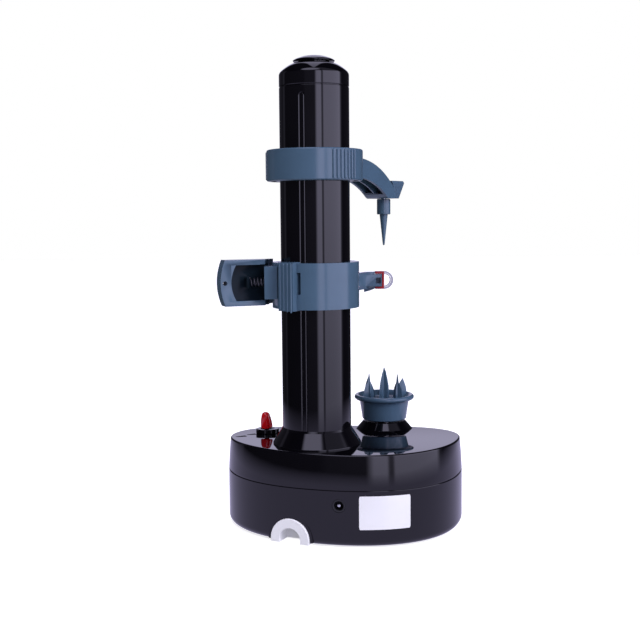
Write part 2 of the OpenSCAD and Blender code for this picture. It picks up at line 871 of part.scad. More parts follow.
// Upper arm: ring, channel section arm with an end pad, and a finger tab.
module arm_side() {
    difference() {
        union() {
            intersection() {
                translate([crown_x, crown_z]) circle(r = crown_r, $fn = 180);
                translate([arm_in + arm_edge, pad_z]) square([pad_x1 - arm_in - arm_edge, arm_top - pad_z]);
            }
            polygon([[pad_x0, pad_z], [pad_x1, pad_z], [tab_x, tab_z], [tab_x - tab_edge, tab_top_z],
                [tab_back_x, tab_top_z]]);
        }
        intersection() {
            translate([belly_x, belly_z]) circle(r = belly_r, $fn = 180);
            translate([0, pad_z - over]) square([pad_x0, arm_h + arm_h]);
        }
    }
}
module arm_hollow() {
    intersection() {
        translate([crown_x, crown_z]) circle(r = crown_r - arm_roof_t, $fn = 180);
        translate([arm_r + arm_edge, pad_z + pad_t]) square([tab_back_x + arm_side_t - arm_r - arm_edge, arm_h]);
    }
}
module upright(w, y) {
    translate([0, y + w / 2, 0]) rotate([90, 0, 0]) linear_extrude(height = w) children();
}
module upper_arm() {
    color("#54687f") to_food() difference() {
        union() {
            difference() {
                rod(arm_r, arm_z, arm_top);
                pipe(arm_r - arm_skin, arm_in + arm_skin, arm_z - over, arm_top - arm_skin);
            }
            difference() {
                upright(arm_w, 0) arm_side();
                upright(arm_w - 2 * arm_side_t, 0) arm_hollow();
            }
            intersection() {
                upright(arm_side_t / 2, 0) arm_side();
                slab([arm_r - arm_edge, -arm_w, pad_z], [pad_x0 - over, arm_w, arm_top]);
            }
            for (s = [-1, 1]) for (i = [0 : grip_ribs - 1])
                rotate([0, 0, s * (grip_turn + grip_pitch * (i - (grip_ribs - 1) / 2))])
                    translate([arm_r, 0, 0]) rod(grip_rib_r, arm_z + arm_edge, arm_top - arm_edge);
        }
        rod(arm_in, arm_z - over, arm_top + over);
        translate([reach, 0, 0]) {
            rod(spike_pin_r + run_gap, pad_z - over, pad_z + pad_t + over);
            rod(pin_head_r + ear_gap, pad_z + pad_t, pad_z + pad_t + 2 * pin_head_h);
        }
    }
    color("#54687f") to_food() slot_key(arm_z, arm_top);
}
// A key that rides in the column's slot, joined to the ring around it.
module slot_key(z0, z1) {
    slab([key_in, key_gap - slot_w / 2, z0], [arm_in + over, slot_w / 2 - key_gap, z1]);
}
module upper_spike() {
    top = pad_z - face_gap;
    root = top - boss_spike_h;
    color("#4d6078") at_food() difference() {
        union() {
            rod(boss_spike_r, root, top);
            translate([0, 0, root - spike_l]) rod(spike_tip_r, 0, spike_l, spike_root_r);
        }
        rod(spike_pin_r, top - pin_sunk, top + over);
    }
}
module spike_pin() {
    color("#c9ccd1") at_food() {
        rod(spike_pin_r, pad_z - face_gap - pin_sunk, pad_z + pad_t + face_gap);
        rod(pin_head_r, pad_z + pad_t + face_gap, pad_z + pad_t + face_gap + pin_head_h);
    }
}
// An ear or knuckle round a pin, joined back towards the column.
module ear(pin, r, z0, z1) {
    rotate([0, 0, atan2(pin[1], pin[0])]) {
        translate([norm(pin), 0, 0]) rod(r, z0, z1);
        slab([car_in + over, -r, z0], [norm(pin), r, z1]);
    }
}
// A ring sector in the food frame between two directions.
module sector(r_in, r_out, from, to, z0, z1) {
    steps = 8;
    fan = [for (k = [0 : steps]) let (a = from + (to - from) * k / steps) [2 * r_out * cos(a), 2 * r_out * sin(a)]];
    translate([0, 0, z0]) linear_extrude(height = z1 - z0) intersection() {
        difference() {
            circle(r = r_out);
            circle(r = r_in);
        }
        polygon(concat([[0, 0]], fan));
    }
}
// Carriage ring with its thumb rest, spring block and hinge ears.
module carriage_body() {
    rod(car_r, car_z, car_top);
    rotate([0, 0, food_turn + 180]) {
        slab([car_in + over, -rest_w / 2, car_z - rest_low], [rest_out, rest_w / 2, car_top + rest_low]);
        for (i = [0 : rest_ribs - 1])
            translate([rest_out, rest_w * (i + 0.5) / rest_ribs - rest_w / 2, 0]) rod(rest_rib_r, car_z, car_top);
    }
    slab([block_x0, block_y0, block_z0], [block_x1, block_y1, block_z1]);
    ear(lever_pin, lever_knuckle_r, window_z0 - ear_t, window_z0);
    ear(lever_pin, lever_knuckle_r, window_z1, window_z1 + ear_t);
    ear(arm_pin, arm_knuckle_r, arm_knuckle_z0 - ear_gap - ear_t, arm_knuckle_z0 - ear_gap);
    ear(arm_pin, arm_knuckle_r, arm_knuckle_z1 + ear_gap, arm_knuckle_z1 + ear_gap + ear_t);
}
module carriage_ring() {
    color("#566a82") at_col() {
        difference() {
            carriage_body();
            rod(car_in, car_z - over - rest_low, car_top + over + rest_low);
            rotate([0, 0, food_turn])
                sector(car_in - over, car_r + over, window_from, window_to, window_z0, window_z1);
            rotate([0, 0, food_turn + 180]) translate([0, rest_w / 2, spring_z - side_slot_h / 2])
                cube([rest_out, side_slot_w, side_slot_h]);
            at_site(lever_pin) rod(hinge_r, car_z, car_top);
            at_site(arm_pin) rod(hinge_r, car_z, car_top);
        }
        rotate([0, 0, food_turn]) {
            slot_key(car_z, window_z0 - face_gap);
            slot_key(window_z1 + face_gap, car_top);
        }
    }
}
module hinge_pins() {
    color("#c9ccd1") at_col() {
        at_site(lever_pin) rod(hinge_r, window_z0 - ear_t, window_z1 + ear_t);
        at_site(arm_pin) rod(hinge_r, arm_knuckle_z0 - ear_gap - ear_t, arm_knuckle_z1 + ear_gap + ear_t);
    }
}
module release_spring() {
    color("#b9bcc0") at_col() translate([block_x0, spring_y, spring_z]) rotate([0, -90, 0])
        coil(spring_r, spring_wire, spring_turns, block_x0 - spring_rib_x);
}
module arm_spring() {
    color("#b9bcc0") at_col() translate([arm_pin[0], arm_pin[1], arm_knuckle_z1 + ear_gap - twist_l])
        coil(twist_r, twist_wire, twist_turns, twist_l);
}

// Release lever: a wing with a finger pocket, and a curved bar to the nut.
module wing_frame() {
    translate([wing_root[0], wing_root[1], wing_z]) rotate([0, 0, wing_turn]) children();
}
module wing_blank() {
    wing_frame() intersection() {
        cube([wing_l + over, wing_depth, wing_h]);
        translate([wing_l - wing_end_r, -over, wing_h / 2]) rotate([-90, 0, 0])
            cylinder(r = wing_end_r, h = wing_depth + 2 * over, $fn = 120);
    }
}
module wing() {
    difference() {
        wing_blank();
        wing_frame() {
            slab([wing_skin, wing_skin, wing_flange], [wing_l - wing_pad, wing_depth + over, wing_h - wing_flange]);
            translate([wing_l - wing_hole_in, -over, wing_h / 2]) rotate([-90, 0, 0])
                cylinder(r = wing_hole_r, h = wing_depth + 2 * over);
        }
        slab([wing_end_x, -wing_l, 0], [wing_l, wing_clear_y - face_gap, car_top + car_h]);
        slab([wing_clear_x, -wing_l, wing_z + wing_flange - face_gap],
            [wing_l, wing_clear_y, wing_z + wing_h - wing_flange + face_gap]);
    }
    intersection() {
        wing_blank();
        slab([spring_rib_x - spring_rib_t, -wing_l, spring_z - spring_rib_h / 2],
            [spring_rib_x, wing_l, spring_z + spring_rib_h / 2]);
    }
}
module release_lever() {
    z0 = window_z0 + ear_gap;
    z1 = window_z1 - ear_gap;
    step = 2 * fit_gap;
    to_wing = wing_root - lever_pin;
    color("#566a82") at_col() difference() {
        union() {
            wing();
            at_site(lever_pin) {
                rod(lever_knuckle_r, z0, z1);
                rotate([0, 0, atan2(to_wing[1], to_wing[0])])
                    slab([hinge_r + over, -lever_knuckle_r / 2, z0 + step],
                        [norm(to_wing) + wing_skin / 2, lever_knuckle_r / 2, z1 - step]);
                rotate([0, 0, atan2(to_wing[1], to_wing[0])])
                    slab([wing_web_from, -lever_knuckle_r / 2 + step, wing_z + step],
                        [norm(to_wing) + wing_skin / 2, wing_web_in, wing_z + wing_h - step]);
            }
            rotate([0, 0, food_turn]) {
                sector(bar_r0, bar_r1, bar_from, bar_to, z0 + step, z1 - step);
                slab([-lever_knuckle_r + step, bar_r0 + over, z0 + 2 * step],
                    [lever_knuckle_r - step, lever_pin_r - hinge_r - over, z1 - 2 * step]);
                slab([nut_x, bar_key_y - bar_key_w / 2, z0 + 2 * step],
                    [bar_r0 + over, bar_key_y + bar_key_w / 2, z1 - 2 * step]);
            }
        }
        at_site(lever_pin) rod(hinge_r + run_gap, z0 - over, z1 + over);
    }
}
module half_nut() {
    color("#d8d5c8") to_food() difference() {
        slab([nut_open, -nut_w / 2, window_z0 + ear_gap], [nut_x, nut_w / 2, window_z1 - ear_gap]);
        rod(screw_r + run_gap, car_z, car_top);
    }
}

// Blade arm: knuckle, bent bar, head block with its square hole, and a tongue.
module peeling_arm() {
    back = head_y + head_t;
    elbow = [head_x0 + bar_t / 2, back + bar_t / 2];
    run = elbow - arm_pin;
    color("#56697f") at_col() difference() {
        union() {
            at_site(arm_pin) {
                rod(arm_knuckle_r, arm_knuckle_z0, arm_knuckle_z1 + ear_gap - twist_l - fit_gap);
                rotate([0, 0, atan2(run[1], run[0])]) {
                    slab([0, -bar_t / 2, arm_knuckle_z0], [arm_knuckle_r + over, bar_t / 2, arm_knuckle_z1 - twist_l]);
                    slab([arm_knuckle_r, -bar_t / 2, head_z - bar_h / 2], [norm(run), bar_t / 2, head_z + bar_h / 2]);
                }
            }
            slab([head_x0, back, head_z - bar_h / 2], [clip_x0 - fit_gap, back + bar_t, head_z + bar_h / 2]);
            upright_xz(bar_t, back) polygon([[head_x0, head_z], [head_x0, head_z - bar_h / 2 - gusset_drop],
                [gusset_x, head_z - bar_h / 2 - gusset_drop / 2], [clip_x0 - fit_gap, head_z - bar_h / 2],
                [clip_x0 - fit_gap, head_z]]);
            slab([head_x0, head_y, head_z - head_h / 2], [head_x1, back + over, head_z + head_h / 2]);
            slab([clip_x0 - over, back, head_z - tongue_h / 2], [tongue_x, back + bar_t, head_z + tongue_h / 2]);
        }
        at_site(arm_pin) rod(hinge_r + run_gap, car_z, car_top);
        slab([hole_x - hole_w / 2, head_y - over, head_z - hole_h / 2], [hole_x + hole_w / 2, back, head_z + hole_h / 2]);
    }
}
module upright_xz(w, y) {
    translate([0, y + w, 0]) rotate([90, 0, 0]) linear_extrude(height = w) children();
}
// Red clip that carries the blade, round the arm's tongue.
module blade_holder() {
    back = head_y + head_t;
    color("#a81722") at_col() difference() {
        slab([clip_x0, back - fit_gap, head_z - clip_h / 2], [clip_x1, back + clip_deep, head_z + clip_h / 2]);
        slab([clip_x0 - over, back - over, head_z - tongue_h / 2 - face_gap],
            [clip_x1 - clip_t + face_gap, back + clip_deep + over, head_z + tongue_h / 2 + face_gap]);
    }
}
// A half round band that opens to the left, seated on the clip's right face.
module half_band(r_out, t, y0, y1) {
    translate([clip_x1, y1, head_z]) rotate([90, 0, 0]) linear_extrude(height = y1 - y0) intersection() {
        difference() {
            circle(r = r_out);
            circle(r = r_out - t);
        }
        translate([0, -r_out]) square([r_out, 2 * r_out]);
    }
}
module blade_guard() {
    back = head_y + head_t;
    color("#dfe6ea", 0.5) at_col() half_band(guard_r, guard_band, back, back + guard_t);
}
module blade() {
    back = head_y + head_t;
    color("#d6d9dd") at_col()
        half_band(guard_r - guard_band - face_gap, blade_t, back + guard_t - over, back + guard_t + blade_w);
}

// Switch under the cover, its collar on the cover, and the red lever.
module at_switch() { translate([switch_x, switch_y, 0]) children(); }
module switch_body() {
    inside = cover_z(switch_y + switch_d / 2) - wall - face_gap;
    color("#2a2a30") difference() {
        at_switch() union() {
            slab([-switch_l / 2, -switch_d / 2, inside - switch_h], [switch_l / 2, switch_d / 2, inside]);
            rod(neck_r, inside - over, collar_top);
        }
        at_switch() rod(neck_in, switch_pivot_z - 2 * over, collar_top + over);
        at_switch() rotate([0, 0, switch_turn]) translate([0, 0, switch_pivot_z])
            along_y(switch_pin_r + run_gap, -neck_r - over, neck_r + over);
    }
}
module switch_collar() {
    color("#0d0d12") difference() {
        at_switch() for (s = [-1, 1]) translate([s * collar_lobe, 0, 0]) rod(collar_lobe_r, seam_z, collar_top);
        under_cover(0);
        at_switch() rod(neck_r, seam_z, collar_top + over);
    }
}
module switch_lever() {
    color("#c8141c") translate([switch_x, switch_y, switch_pivot_z]) rotate([0, 0, switch_turn])
        rotate([0, -switch_lean, 0]) {
        rod(stem_r, -over, cap_low + over);
        along_y(switch_pin_r, fit_gap - neck_r, neck_r - fit_gap);
        rod(cap_r0, cap_low, cap_low + cap_len, cap_r1);
        translate([0, 0, cap_low + cap_len]) sphere(r = cap_r1);
    }
}

// Power socket in the rear wall, and the bare rating plate beside it.
module dc_jack() {
    seat = wall + jack_seat;
    color("#1c1c20") on_wall(jack_t) translate([0, 0, jack_z]) difference() {
        union() {
            slab([-seat - jack_body_l, -jack_body_w / 2, -jack_body_h / 2], [-seat, jack_body_w / 2, jack_body_h / 2]);
            along_x(jack_nose_r, -seat - over, -face_gap);
        }
        along_x(jack_hole_r, -jack_pin_l - over, over);
    }
}
module jack_pin() {
    color("#d9dadc") on_wall(jack_t) translate([0, 0, jack_z])
        along_x(jack_pin_r, -jack_pin_l - over, -over);
}
module rating_plate() {
    color("#eceded") intersection() {
        translate([0, 0, label_z]) linear_extrude(height = label_h) difference() {
            outline(-label_t);
            outline();
        }
        on_wall(plate_angle_t) slab([-label_w / 2, -label_w / 2, 0], [over * 2, label_w / 2, seam_z]);
    }
}
module rubber_feet() {
    color("#202024") rotate([0, 0, base_turn]) for (sx = [-1, 1]) for (sy = [-1, 1])
        at_site([sx * foot_x, sy * foot_y]) rod(foot_r, 0, foot_h);
}
module housing_screws() {
    color("#8d9094") rotate([0, 0, base_turn]) for (p = post_sites) at_site(p) {
        rod(screw_head_r, screw_web_z - screw_head_h, screw_web_z);
        rod(screw_shank_r, screw_web_z, screw_web_z + screw_len);
    }
}
module plate_screws() {
    color("#8d9094") rotate([0, 0, base_turn]) for (p = plate_sites) at_site(p) {
        rod(screw_shank_r, plate_top - plate_screw_l, plate_top);
        rod(screw_head_r, plate_top, plate_top + screw_head_h);
    }
}

// Thumb knife: a white ring grip in the bay, with its blade behind it.
module knife_grip() {
    color("#f1f1f3") on_wall(bay_t) intersection() {
        translate([0, 0, bay_z]) difference() {
            along_x(bay_r - grip_gap, -bay_depth + fit_gap, grip_proud);
            along_x(grip_hole_r, -bay_depth + grip_web, grip_proud + over);
        }
        slab([-bay_depth, -bay_r, base_z], [grip_proud + over, bay_r, bay_z + bay_r]);
    }
}
module knife_blade() {
    color("#cfd2d6") on_wall(bay_t)
        slab([-bay_depth - edge_l + fit_gap, -edge_w / 2, edge_z], [-bay_depth + fit_gap, edge_w / 2, edge_z + edge_t]);
}

lower_shell();
upper_shell();
column_tube();
tower_cap();
cap_disc();
spindle_collar();
gear_plate();
screw_bushes();
spindle_bushes();
gear_axles();
motor_case();
dc_jack();
jack_pin();
switch_body();
switch_collar();
rating_plate();
rubber_feet();
housing_screws();
plate_screws();
motor_screws();
spindle_shaft();
spindle_gear();
spindle_clip();
food_holder();
compound_gear();
idler_gear();
lead_screw();
screw_gear();
motor_shaft();
motor_pinion();
upper_arm();
upper_spike();
spike_pin();
carriage_ring();
hinge_pins();
release_spring();
release_lever();
half_nut();
peeling_arm();
arm_spring();
blade_holder();
blade();
blade_guard();
switch_lever();
knife_grip();
knife_blade();
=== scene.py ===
"""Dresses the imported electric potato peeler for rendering.

The CAD solids stay in charge of every size and place. This script adds the
softened edges, the screw thread, the moulded details and the finishes.
All lengths in the classes are millimetres in the frame of the CAD model.
"""

from __future__ import annotations

import logging
import math
from dataclasses import dataclass, replace
from enum import Enum
from typing import Callable, Iterable, Sequence

import bmesh
import bpy
from mathutils import Matrix, Vector


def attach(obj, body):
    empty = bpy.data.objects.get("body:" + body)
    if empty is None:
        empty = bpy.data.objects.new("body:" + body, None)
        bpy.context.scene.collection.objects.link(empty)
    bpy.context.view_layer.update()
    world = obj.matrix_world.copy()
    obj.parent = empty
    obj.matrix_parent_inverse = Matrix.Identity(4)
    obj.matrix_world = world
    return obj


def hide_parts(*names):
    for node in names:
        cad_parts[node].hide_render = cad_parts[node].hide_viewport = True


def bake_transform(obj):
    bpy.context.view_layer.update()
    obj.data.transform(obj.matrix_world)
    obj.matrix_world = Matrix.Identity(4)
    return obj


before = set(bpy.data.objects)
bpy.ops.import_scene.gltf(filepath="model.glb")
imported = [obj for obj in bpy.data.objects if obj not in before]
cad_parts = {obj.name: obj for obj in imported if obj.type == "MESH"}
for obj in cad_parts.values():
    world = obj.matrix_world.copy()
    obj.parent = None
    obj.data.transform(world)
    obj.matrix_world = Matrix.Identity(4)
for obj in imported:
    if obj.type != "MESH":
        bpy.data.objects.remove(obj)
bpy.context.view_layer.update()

LOG = logging.getLogger("peeler")
MM = 0.001
TAU = 2 * math.pi

Point = tuple[float, float]
Point3 = tuple[float, float, float]
Profile = tuple[Point, ...]
Corners = tuple[Point3, ...]
Band = tuple[float, float, float, float]

# Points closer than these, in metres, are one point.
MADE_WELD = 1e-7
BEVEL_WELD = 1e-6
CAD_WELD = 3e-6
CAD_SLIVER = 2e-6

# Angles between faces in degrees. Copies of CAD nodes are flat under the first
# and rounded over the second. Edges over the others are shaded sharp: on those
# copies, on turned pieces, on shells and on coils.
FLAT_ANGLE = 0.8
ROUNDED_ANGLE = 35
SHARP_ANGLE = 43
TURNED_ANGLE = 34
SHELL_ANGLE = 30
COIL_ANGLE = 60

# Noise rarely leaves these limits.
NOISE_RANGE = (0.3, 0.7)

# A flat outline stands up: its x and y become the model's x and z, or y and z.
STAND_ALONG_X = Matrix(((1, 0, 0, 0), (0, 0, -1, 0), (0, 1, 0, 0), (0, 0, 0, 1)))
STAND_ALONG_Y = Matrix(((0, 0, 1, 0), (1, 0, 0, 0), (0, 1, 0, 0), (0, 0, 0, 1)))


# ---------------------------------------------------------------- geometry kit
class Join(Enum):
    """Ways to combine two solids."""

    CUT = "DIFFERENCE"
    ADD = "UNION"


def polar(radius: float, degrees: float) -> Point:
    """Returns the x and y of a polar place."""
    a = math.radians(degrees)
    return radius * math.cos(a), radius * math.sin(a)


def arc(centre: Point, radius: float, angles: Iterable[float]) -> list[Point]:
    """Returns points of a circle at some angles, in degrees from its right."""
    return [(centre[0] + x, centre[1] + y) for x, y in (polar(radius, a) for a in angles)]


def arch(centre: Point, radius: float, angles: Iterable[float]) -> list[Point]:
    """Returns points of a circle at some angles, in degrees from its top."""
    return [(centre[0] + y, centre[1] + x) for x, y in (polar(radius, a) for a in angles)]


def raised(profile: Iterable[Point], height: float) -> list[Point]:
    """Returns a profile lifted to a height."""
    return [(radius, height + z) for radius, z in profile]


def turned(degrees: float, axis: str = "Z") -> Matrix:
    """Returns a turn about a main axis."""
    return Matrix.Rotation(math.radians(degrees), 4, axis)


def moved(x: float, y: float, z: float = 0.0) -> Matrix:
    """Returns a shift."""
    return Matrix.Translation((x, y, z))


def add_object(name: str, data: bpy.types.ID) -> bpy.types.Object:
    """Links a mesh, lamp or camera to the scene under a name.

    Args:
        name: name of the object.
        data: what it shows.

    Returns:
        The new object.
    """
    obj = bpy.data.objects.new(name, data)
    bpy.context.scene.collection.objects.link(obj)
    return obj


def from_lists(name: str, verts: Sequence[Sequence[float]],
               faces: Sequence[Sequence[int]]) -> bpy.types.Object:
    """Makes an object from points and faces.

    Args:
        name: name of the piece.
        verts: points in millimetres.
        faces: loops of point numbers, in either sense.

    Returns:
        The new object, its normals recalculated outwards.
    """
    mesh = bpy.data.meshes.new(name)
    mesh.from_pydata([Vector(v) * MM for v in verts], [], [list(f) for f in faces])
    bm = bmesh.new()
    bm.from_mesh(mesh)
    bmesh.ops.remove_doubles(bm, verts=bm.verts, dist=MADE_WELD)
    bmesh.ops.recalc_face_normals(bm, faces=bm.faces)
    bm.to_mesh(mesh)
    bm.free()
    return add_object(name, mesh)


def loft(name: str, rings: Sequence[Sequence[Point3]], closed: bool = False) -> bpy.types.Object:
    """Joins rings of equal count into one closed skin.

    Args:
        name: name of the piece.
        rings: rings of points in millimetres; a ring of one point is a pole.
        closed: True joins the last ring to the first, as on a torus.

    Returns:
        The new object.
    """
    verts: list[Point3] = []
    starts: list[int] = []
    for ring in rings:
        starts.append(len(verts))
        verts.extend(ring)
    pairs = list(zip(range(len(rings) - 1), range(1, len(rings))))
    if closed:
        pairs.append((len(rings) - 1, 0))
    faces: list[list[int]] = []
    for i, j in pairs:
        a, b, count_a, count_b = starts[i], starts[j], len(rings[i]), len(rings[j])
        count = max(count_a, count_b)
        for k in range(count):
            m = (k + 1) % count
            if count_a == 1:
                faces.append([a, b + k, b + m])
            elif count_b == 1:
                faces.append([a + k, b, a + m])
            else:
                faces.append([a + k, b + k, b + m, a + m])
    return from_lists(name, verts, faces)


def circle(radius: float, z: float, centre: Point, count: int = 96) -> list[Point3]:
    """Returns a ring of points round a vertical axis.

    Args:
        radius: radius in millimetres; 0 gives one pole point.
        z: height of the ring.
        centre: the axis.
        count: number of points.

    Returns:
        The points.
    """
    if radius <= 0:
        return [(*centre, z)]
    step = TAU / count
    return [(centre[0] + radius * math.cos(k * step), centre[1] + radius * math.sin(k * step), z)
            for k in range(count)]


def lathe(name: str, profile: Iterable[Point], centre: Point = (0, 0), count: int = 96,
          closed: bool = False) -> bpy.types.Object:
    """Turns a profile of (radius, height) about a vertical axis.

    Args:
        name: name of the piece.
        profile: points in millimetres; a radius of 0 is a pole.
        centre: the axis.
        count: points round the axis.
        closed: True for a ring whose profile is a loop.

    Returns:
        The new object.
    """
    return loft(name, [circle(r, z, centre, count) for r, z in profile], closed)


def rounded(corners: Sequence[Point3], steps: int = 4) -> list[Point]:
    """Rounds the corners of a profile that closes on itself.

    Args:
        corners: corners as (radius, height, rounding).
        steps: segments on each rounded corner.

    Returns:
        The points of the rounded profile.
    """
    out: list[Point] = []
    for i, (x, y, r) in enumerate(corners):
        if r <= 0:
            out.append((x, y))
            continue
        before, after = corners[i - 1], corners[(i + 1) % len(corners)]
        c = Vector((x, y))
        u, v = ((Vector(p[:2]) - c).normalized() for p in (before, after))
        half = math.acos(max(-1.0, min(1.0, u.dot(v)))) / 2
        reach = r / math.tan(half)
        a, b = c + u * reach, c + v * reach
        mid = c + (u + v).normalized() * (r / math.sin(half))
        for k in range(steps + 1):
            out.append(tuple(mid + (a - mid).lerp(b - mid, k / steps).normalized() * r))
    return out


def prism(name: str, outline: Sequence[Point], low: float, high: float) -> bpy.types.Object:
    """Stands a flat outline up between two heights.

    Args:
        name: name of the piece.
        outline: corners in millimetres.
        low: lower height.
        high: upper height.

    Returns:
        The new object.
    """
    n = len(outline)
    verts = [(x, y, z) for z in (low, high) for x, y in outline]
    faces = [list(range(n)), list(range(n, 2 * n))]
    faces += [[k, (k + 1) % n, n + (k + 1) % n, n + k] for k in range(n)]
    return from_lists(name, verts, faces)


def slab(name: str, low: Point3, high: Point3) -> bpy.types.Object:
    """Makes a block between two corners."""
    outline = [(low[0], low[1]), (high[0], low[1]), (high[0], high[1]), (low[0], high[1])]
    return prism(name, outline, low[2], high[2])


def rod(name: str, radius: float, low: float, high: float, centre: Point = (0, 0),
        count: int = 48) -> bpy.types.Object:
    """Makes a plain upright cylinder, mostly as a cutter."""
    return prism(name, [p[:2] for p in circle(radius, 0, centre, count)], low, high)


def place(obj: bpy.types.Object, matrix: Matrix) -> bpy.types.Object:
    """Moves a mesh and leaves its object at the origin.

    Args:
        obj: the piece.
        matrix: the move, in millimetres.

    Returns:
        The same piece.
    """
    scaled = matrix.copy()
    scaled.translation = scaled.translation * MM
    obj.data.transform(scaled)
    return obj


def combine(target: bpy.types.Object, tool: bpy.types.Object,
            way: Join = Join.CUT) -> bpy.types.Object:
    """Cuts or joins a mesh with another, which is used up.

    Args:
        target: the piece that changes.
        tool: the other solid.
        way: whether it is cut away or added.

    Returns:
        The changed piece.
    """
    mod = target.modifiers.new("combine", "BOOLEAN")
    mod.operation = way.value
    mod.solver = "EXACT"
    mod.object = tool
    keep_result(target)
    bpy.data.objects.remove(tool, do_unlink=True)
    return target


def keep_result(obj: bpy.types.Object) -> None:
    """Turns what the modifiers of a piece make into its plain mesh.

    Args:
        obj: the piece.
    """
    graph = bpy.context.evaluated_depsgraph_get()
    made = bpy.data.meshes.new_from_object(obj.evaluated_get(graph))
    old = obj.data
    obj.modifiers.clear()
    obj.data = made
    bpy.data.meshes.remove(old)


def copy_of(node: str, name: str) -> bpy.types.Object:
    """Makes a merged copy of a CAD node's mesh under a new name.

    Args:
        node: name of the CAD node.
        name: name of the new piece.

    Returns:
        The new object, with flat areas joined into single faces.
    """
    obj = add_object(name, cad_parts[node].data.copy())
    obj.data.materials.clear()
    bm = bmesh.new()
    bm.from_mesh(obj.data)
    bmesh.ops.remove_doubles(bm, verts=bm.verts, dist=CAD_WELD)
    bmesh.ops.dissolve_degenerate(bm, dist=CAD_SLIVER, edges=bm.edges)
    bmesh.ops.dissolve_limit(bm, angle_limit=math.radians(FLAT_ANGLE), verts=bm.verts,
                             edges=bm.edges, delimit={"NORMAL"})
    bm.to_mesh(obj.data)
    bm.free()
    return obj


def bevel(obj: bpy.types.Object, width: float, segments: int, angle: float) -> bpy.types.Object:
    """Rounds the sharp outward edges of a piece.

    Args:
        obj: the piece.
        width: rounding in millimetres.
        segments: faces across each rounded edge.
        angle: edges sharper than this many degrees are rounded.

    Returns:
        The same piece.
    """
    bm = bmesh.new()
    bm.from_mesh(obj.data)
    limit = math.radians(angle)
    edges = [e for e in bm.edges
             if e.is_manifold and e.calc_face_angle(0) > limit and e.is_convex]
    if edges:
        bmesh.ops.bevel(bm, geom=edges, offset=width * MM, segments=segments, profile=0.5,
                        affect="EDGES", clamp_overlap=True, offset_type="OFFSET")
    bmesh.ops.remove_doubles(bm, verts=bm.verts, dist=BEVEL_WELD)
    bm.to_mesh(obj.data)
    bm.free()
    return obj


def shade(obj: bpy.types.Object, angle: float = 40) -> bpy.types.Object:
    """Shades a piece smoothly except over its sharp edges.

    Args:
        obj: the piece.
        angle: edges sharper than this many degrees stay sharp.

    Returns:
        The same piece.
    """
    mesh = obj.data
    mesh.polygons.foreach_set("use_smooth", [True] * len(mesh.polygons))
    mesh.set_sharp_from_angle(angle=math.radians(angle))
    mod = obj.modifiers.new("even_normals", "WEIGHTED_NORMAL")
    mod.keep_sharp = True
    mod.weight = 60
    return obj


def softened_copy(node: str, name: str, width: float, segments: int) -> bpy.types.Object:
    """Makes a copy of a CAD node with rounded edges and even shading.

    Args:
        node: name of the CAD node.
        name: name of the new piece.
        width: rounding in millimetres.
        segments: faces across each rounded edge.

    Returns:
        The new object.
    """
    return shade(bevel(copy_of(node, name), width, segments, ROUNDED_ANGLE), SHARP_ANGLE)


def fold_in(parts: Sequence[bpy.types.Object], name: str) -> bpy.types.Object:
    """Joins several meshes into one piece without cutting them.

    Args:
        parts: the meshes, used up.
        name: name of the joined piece.

    Returns:
        The joined piece.
    """
    bm = bmesh.new()
    for part in parts:
        bm.from_mesh(part.data)
        bpy.data.objects.remove(part, do_unlink=True)
    mesh = bpy.data.meshes.new(name)
    bm.to_mesh(mesh)
    bm.free()
    return add_object(name, mesh)


# -------------------------------------------------------------------- node kit
def set_inputs(tree: bpy.types.NodeTree, node: bpy.types.Node,
               inputs: dict[str | int, object]) -> None:
    """Links or sets the inputs of a node.

    Args:
        tree: the tree that holds the node.
        node: the node.
        inputs: sockets to link or constants to set, by input name or number.
    """
    for key, value in inputs.items():
        if isinstance(value, bpy.types.NodeSocket):
            tree.links.new(value, node.inputs[key])
        else:
            node.inputs[key].default_value = value


def add_node(tree: bpy.types.NodeTree, kind: str, inputs: dict[str | int, object] | None = None,
             **options: object) -> bpy.types.Node:
    """Adds a node to a tree.

    Args:
        tree: the tree.
        kind: Blender's name of the node type.
        inputs: sockets to link or constants to set, by input name or number.
        options: the node's own options.

    Returns:
        The new node.
    """
    node = tree.nodes.new(kind)
    for option, value in options.items():
        setattr(node, option, value)
    set_inputs(tree, node, inputs or {})
    return node


def maths(tree: bpy.types.NodeTree, operation: str,
          *values: bpy.types.NodeSocket | float) -> bpy.types.NodeSocket:
    """Adds a math node on sockets or plain numbers and returns its result."""
    node = add_node(tree, "ShaderNodeMath", dict(enumerate(values)), operation=operation)
    return node.outputs["Value"]


def spread_over(tree: bpy.types.NodeTree, source: bpy.types.NodeSocket, band: Band,
                interpolation: str = "LINEAR") -> bpy.types.NodeSocket:
    """Maps a value between two limits to two levels.

    Args:
        tree: the tree.
        source: the value.
        band: lower limit, upper limit, and the levels at them.
        interpolation: how the level runs between them.

    Returns:
        The socket of the level.
    """
    keys = ("From Min", "From Max", "To Min", "To Max")
    node = add_node(tree, "ShaderNodeMapRange", {"Value": source, **dict(zip(keys, band))},
                    interpolation_type=interpolation)
    return node.outputs["Result"]


def fill_ramp(ramp: bpy.types.ColorRamp, stops: Sequence[tuple[float, Sequence[float]]]) -> None:
    """Sets the stops of a colour ramp.

    Args:
        ramp: the ramp.
        stops: position and colour of each stop, from left to right.
    """
    while len(ramp.elements) < len(stops):
        ramp.elements.new(0.5)
    for element, (position, colour) in zip(ramp.elements, stops):
        element.position = position
        element.color = (*colour, 1)


# ------------------------------------------------------------------ materials
class Grain(Enum):
    """Directions of the fine surface detail, as the scale of its three axes."""

    EVEN = (1, 1, 1)
    BRUSHED = (1, 1, 0.06)


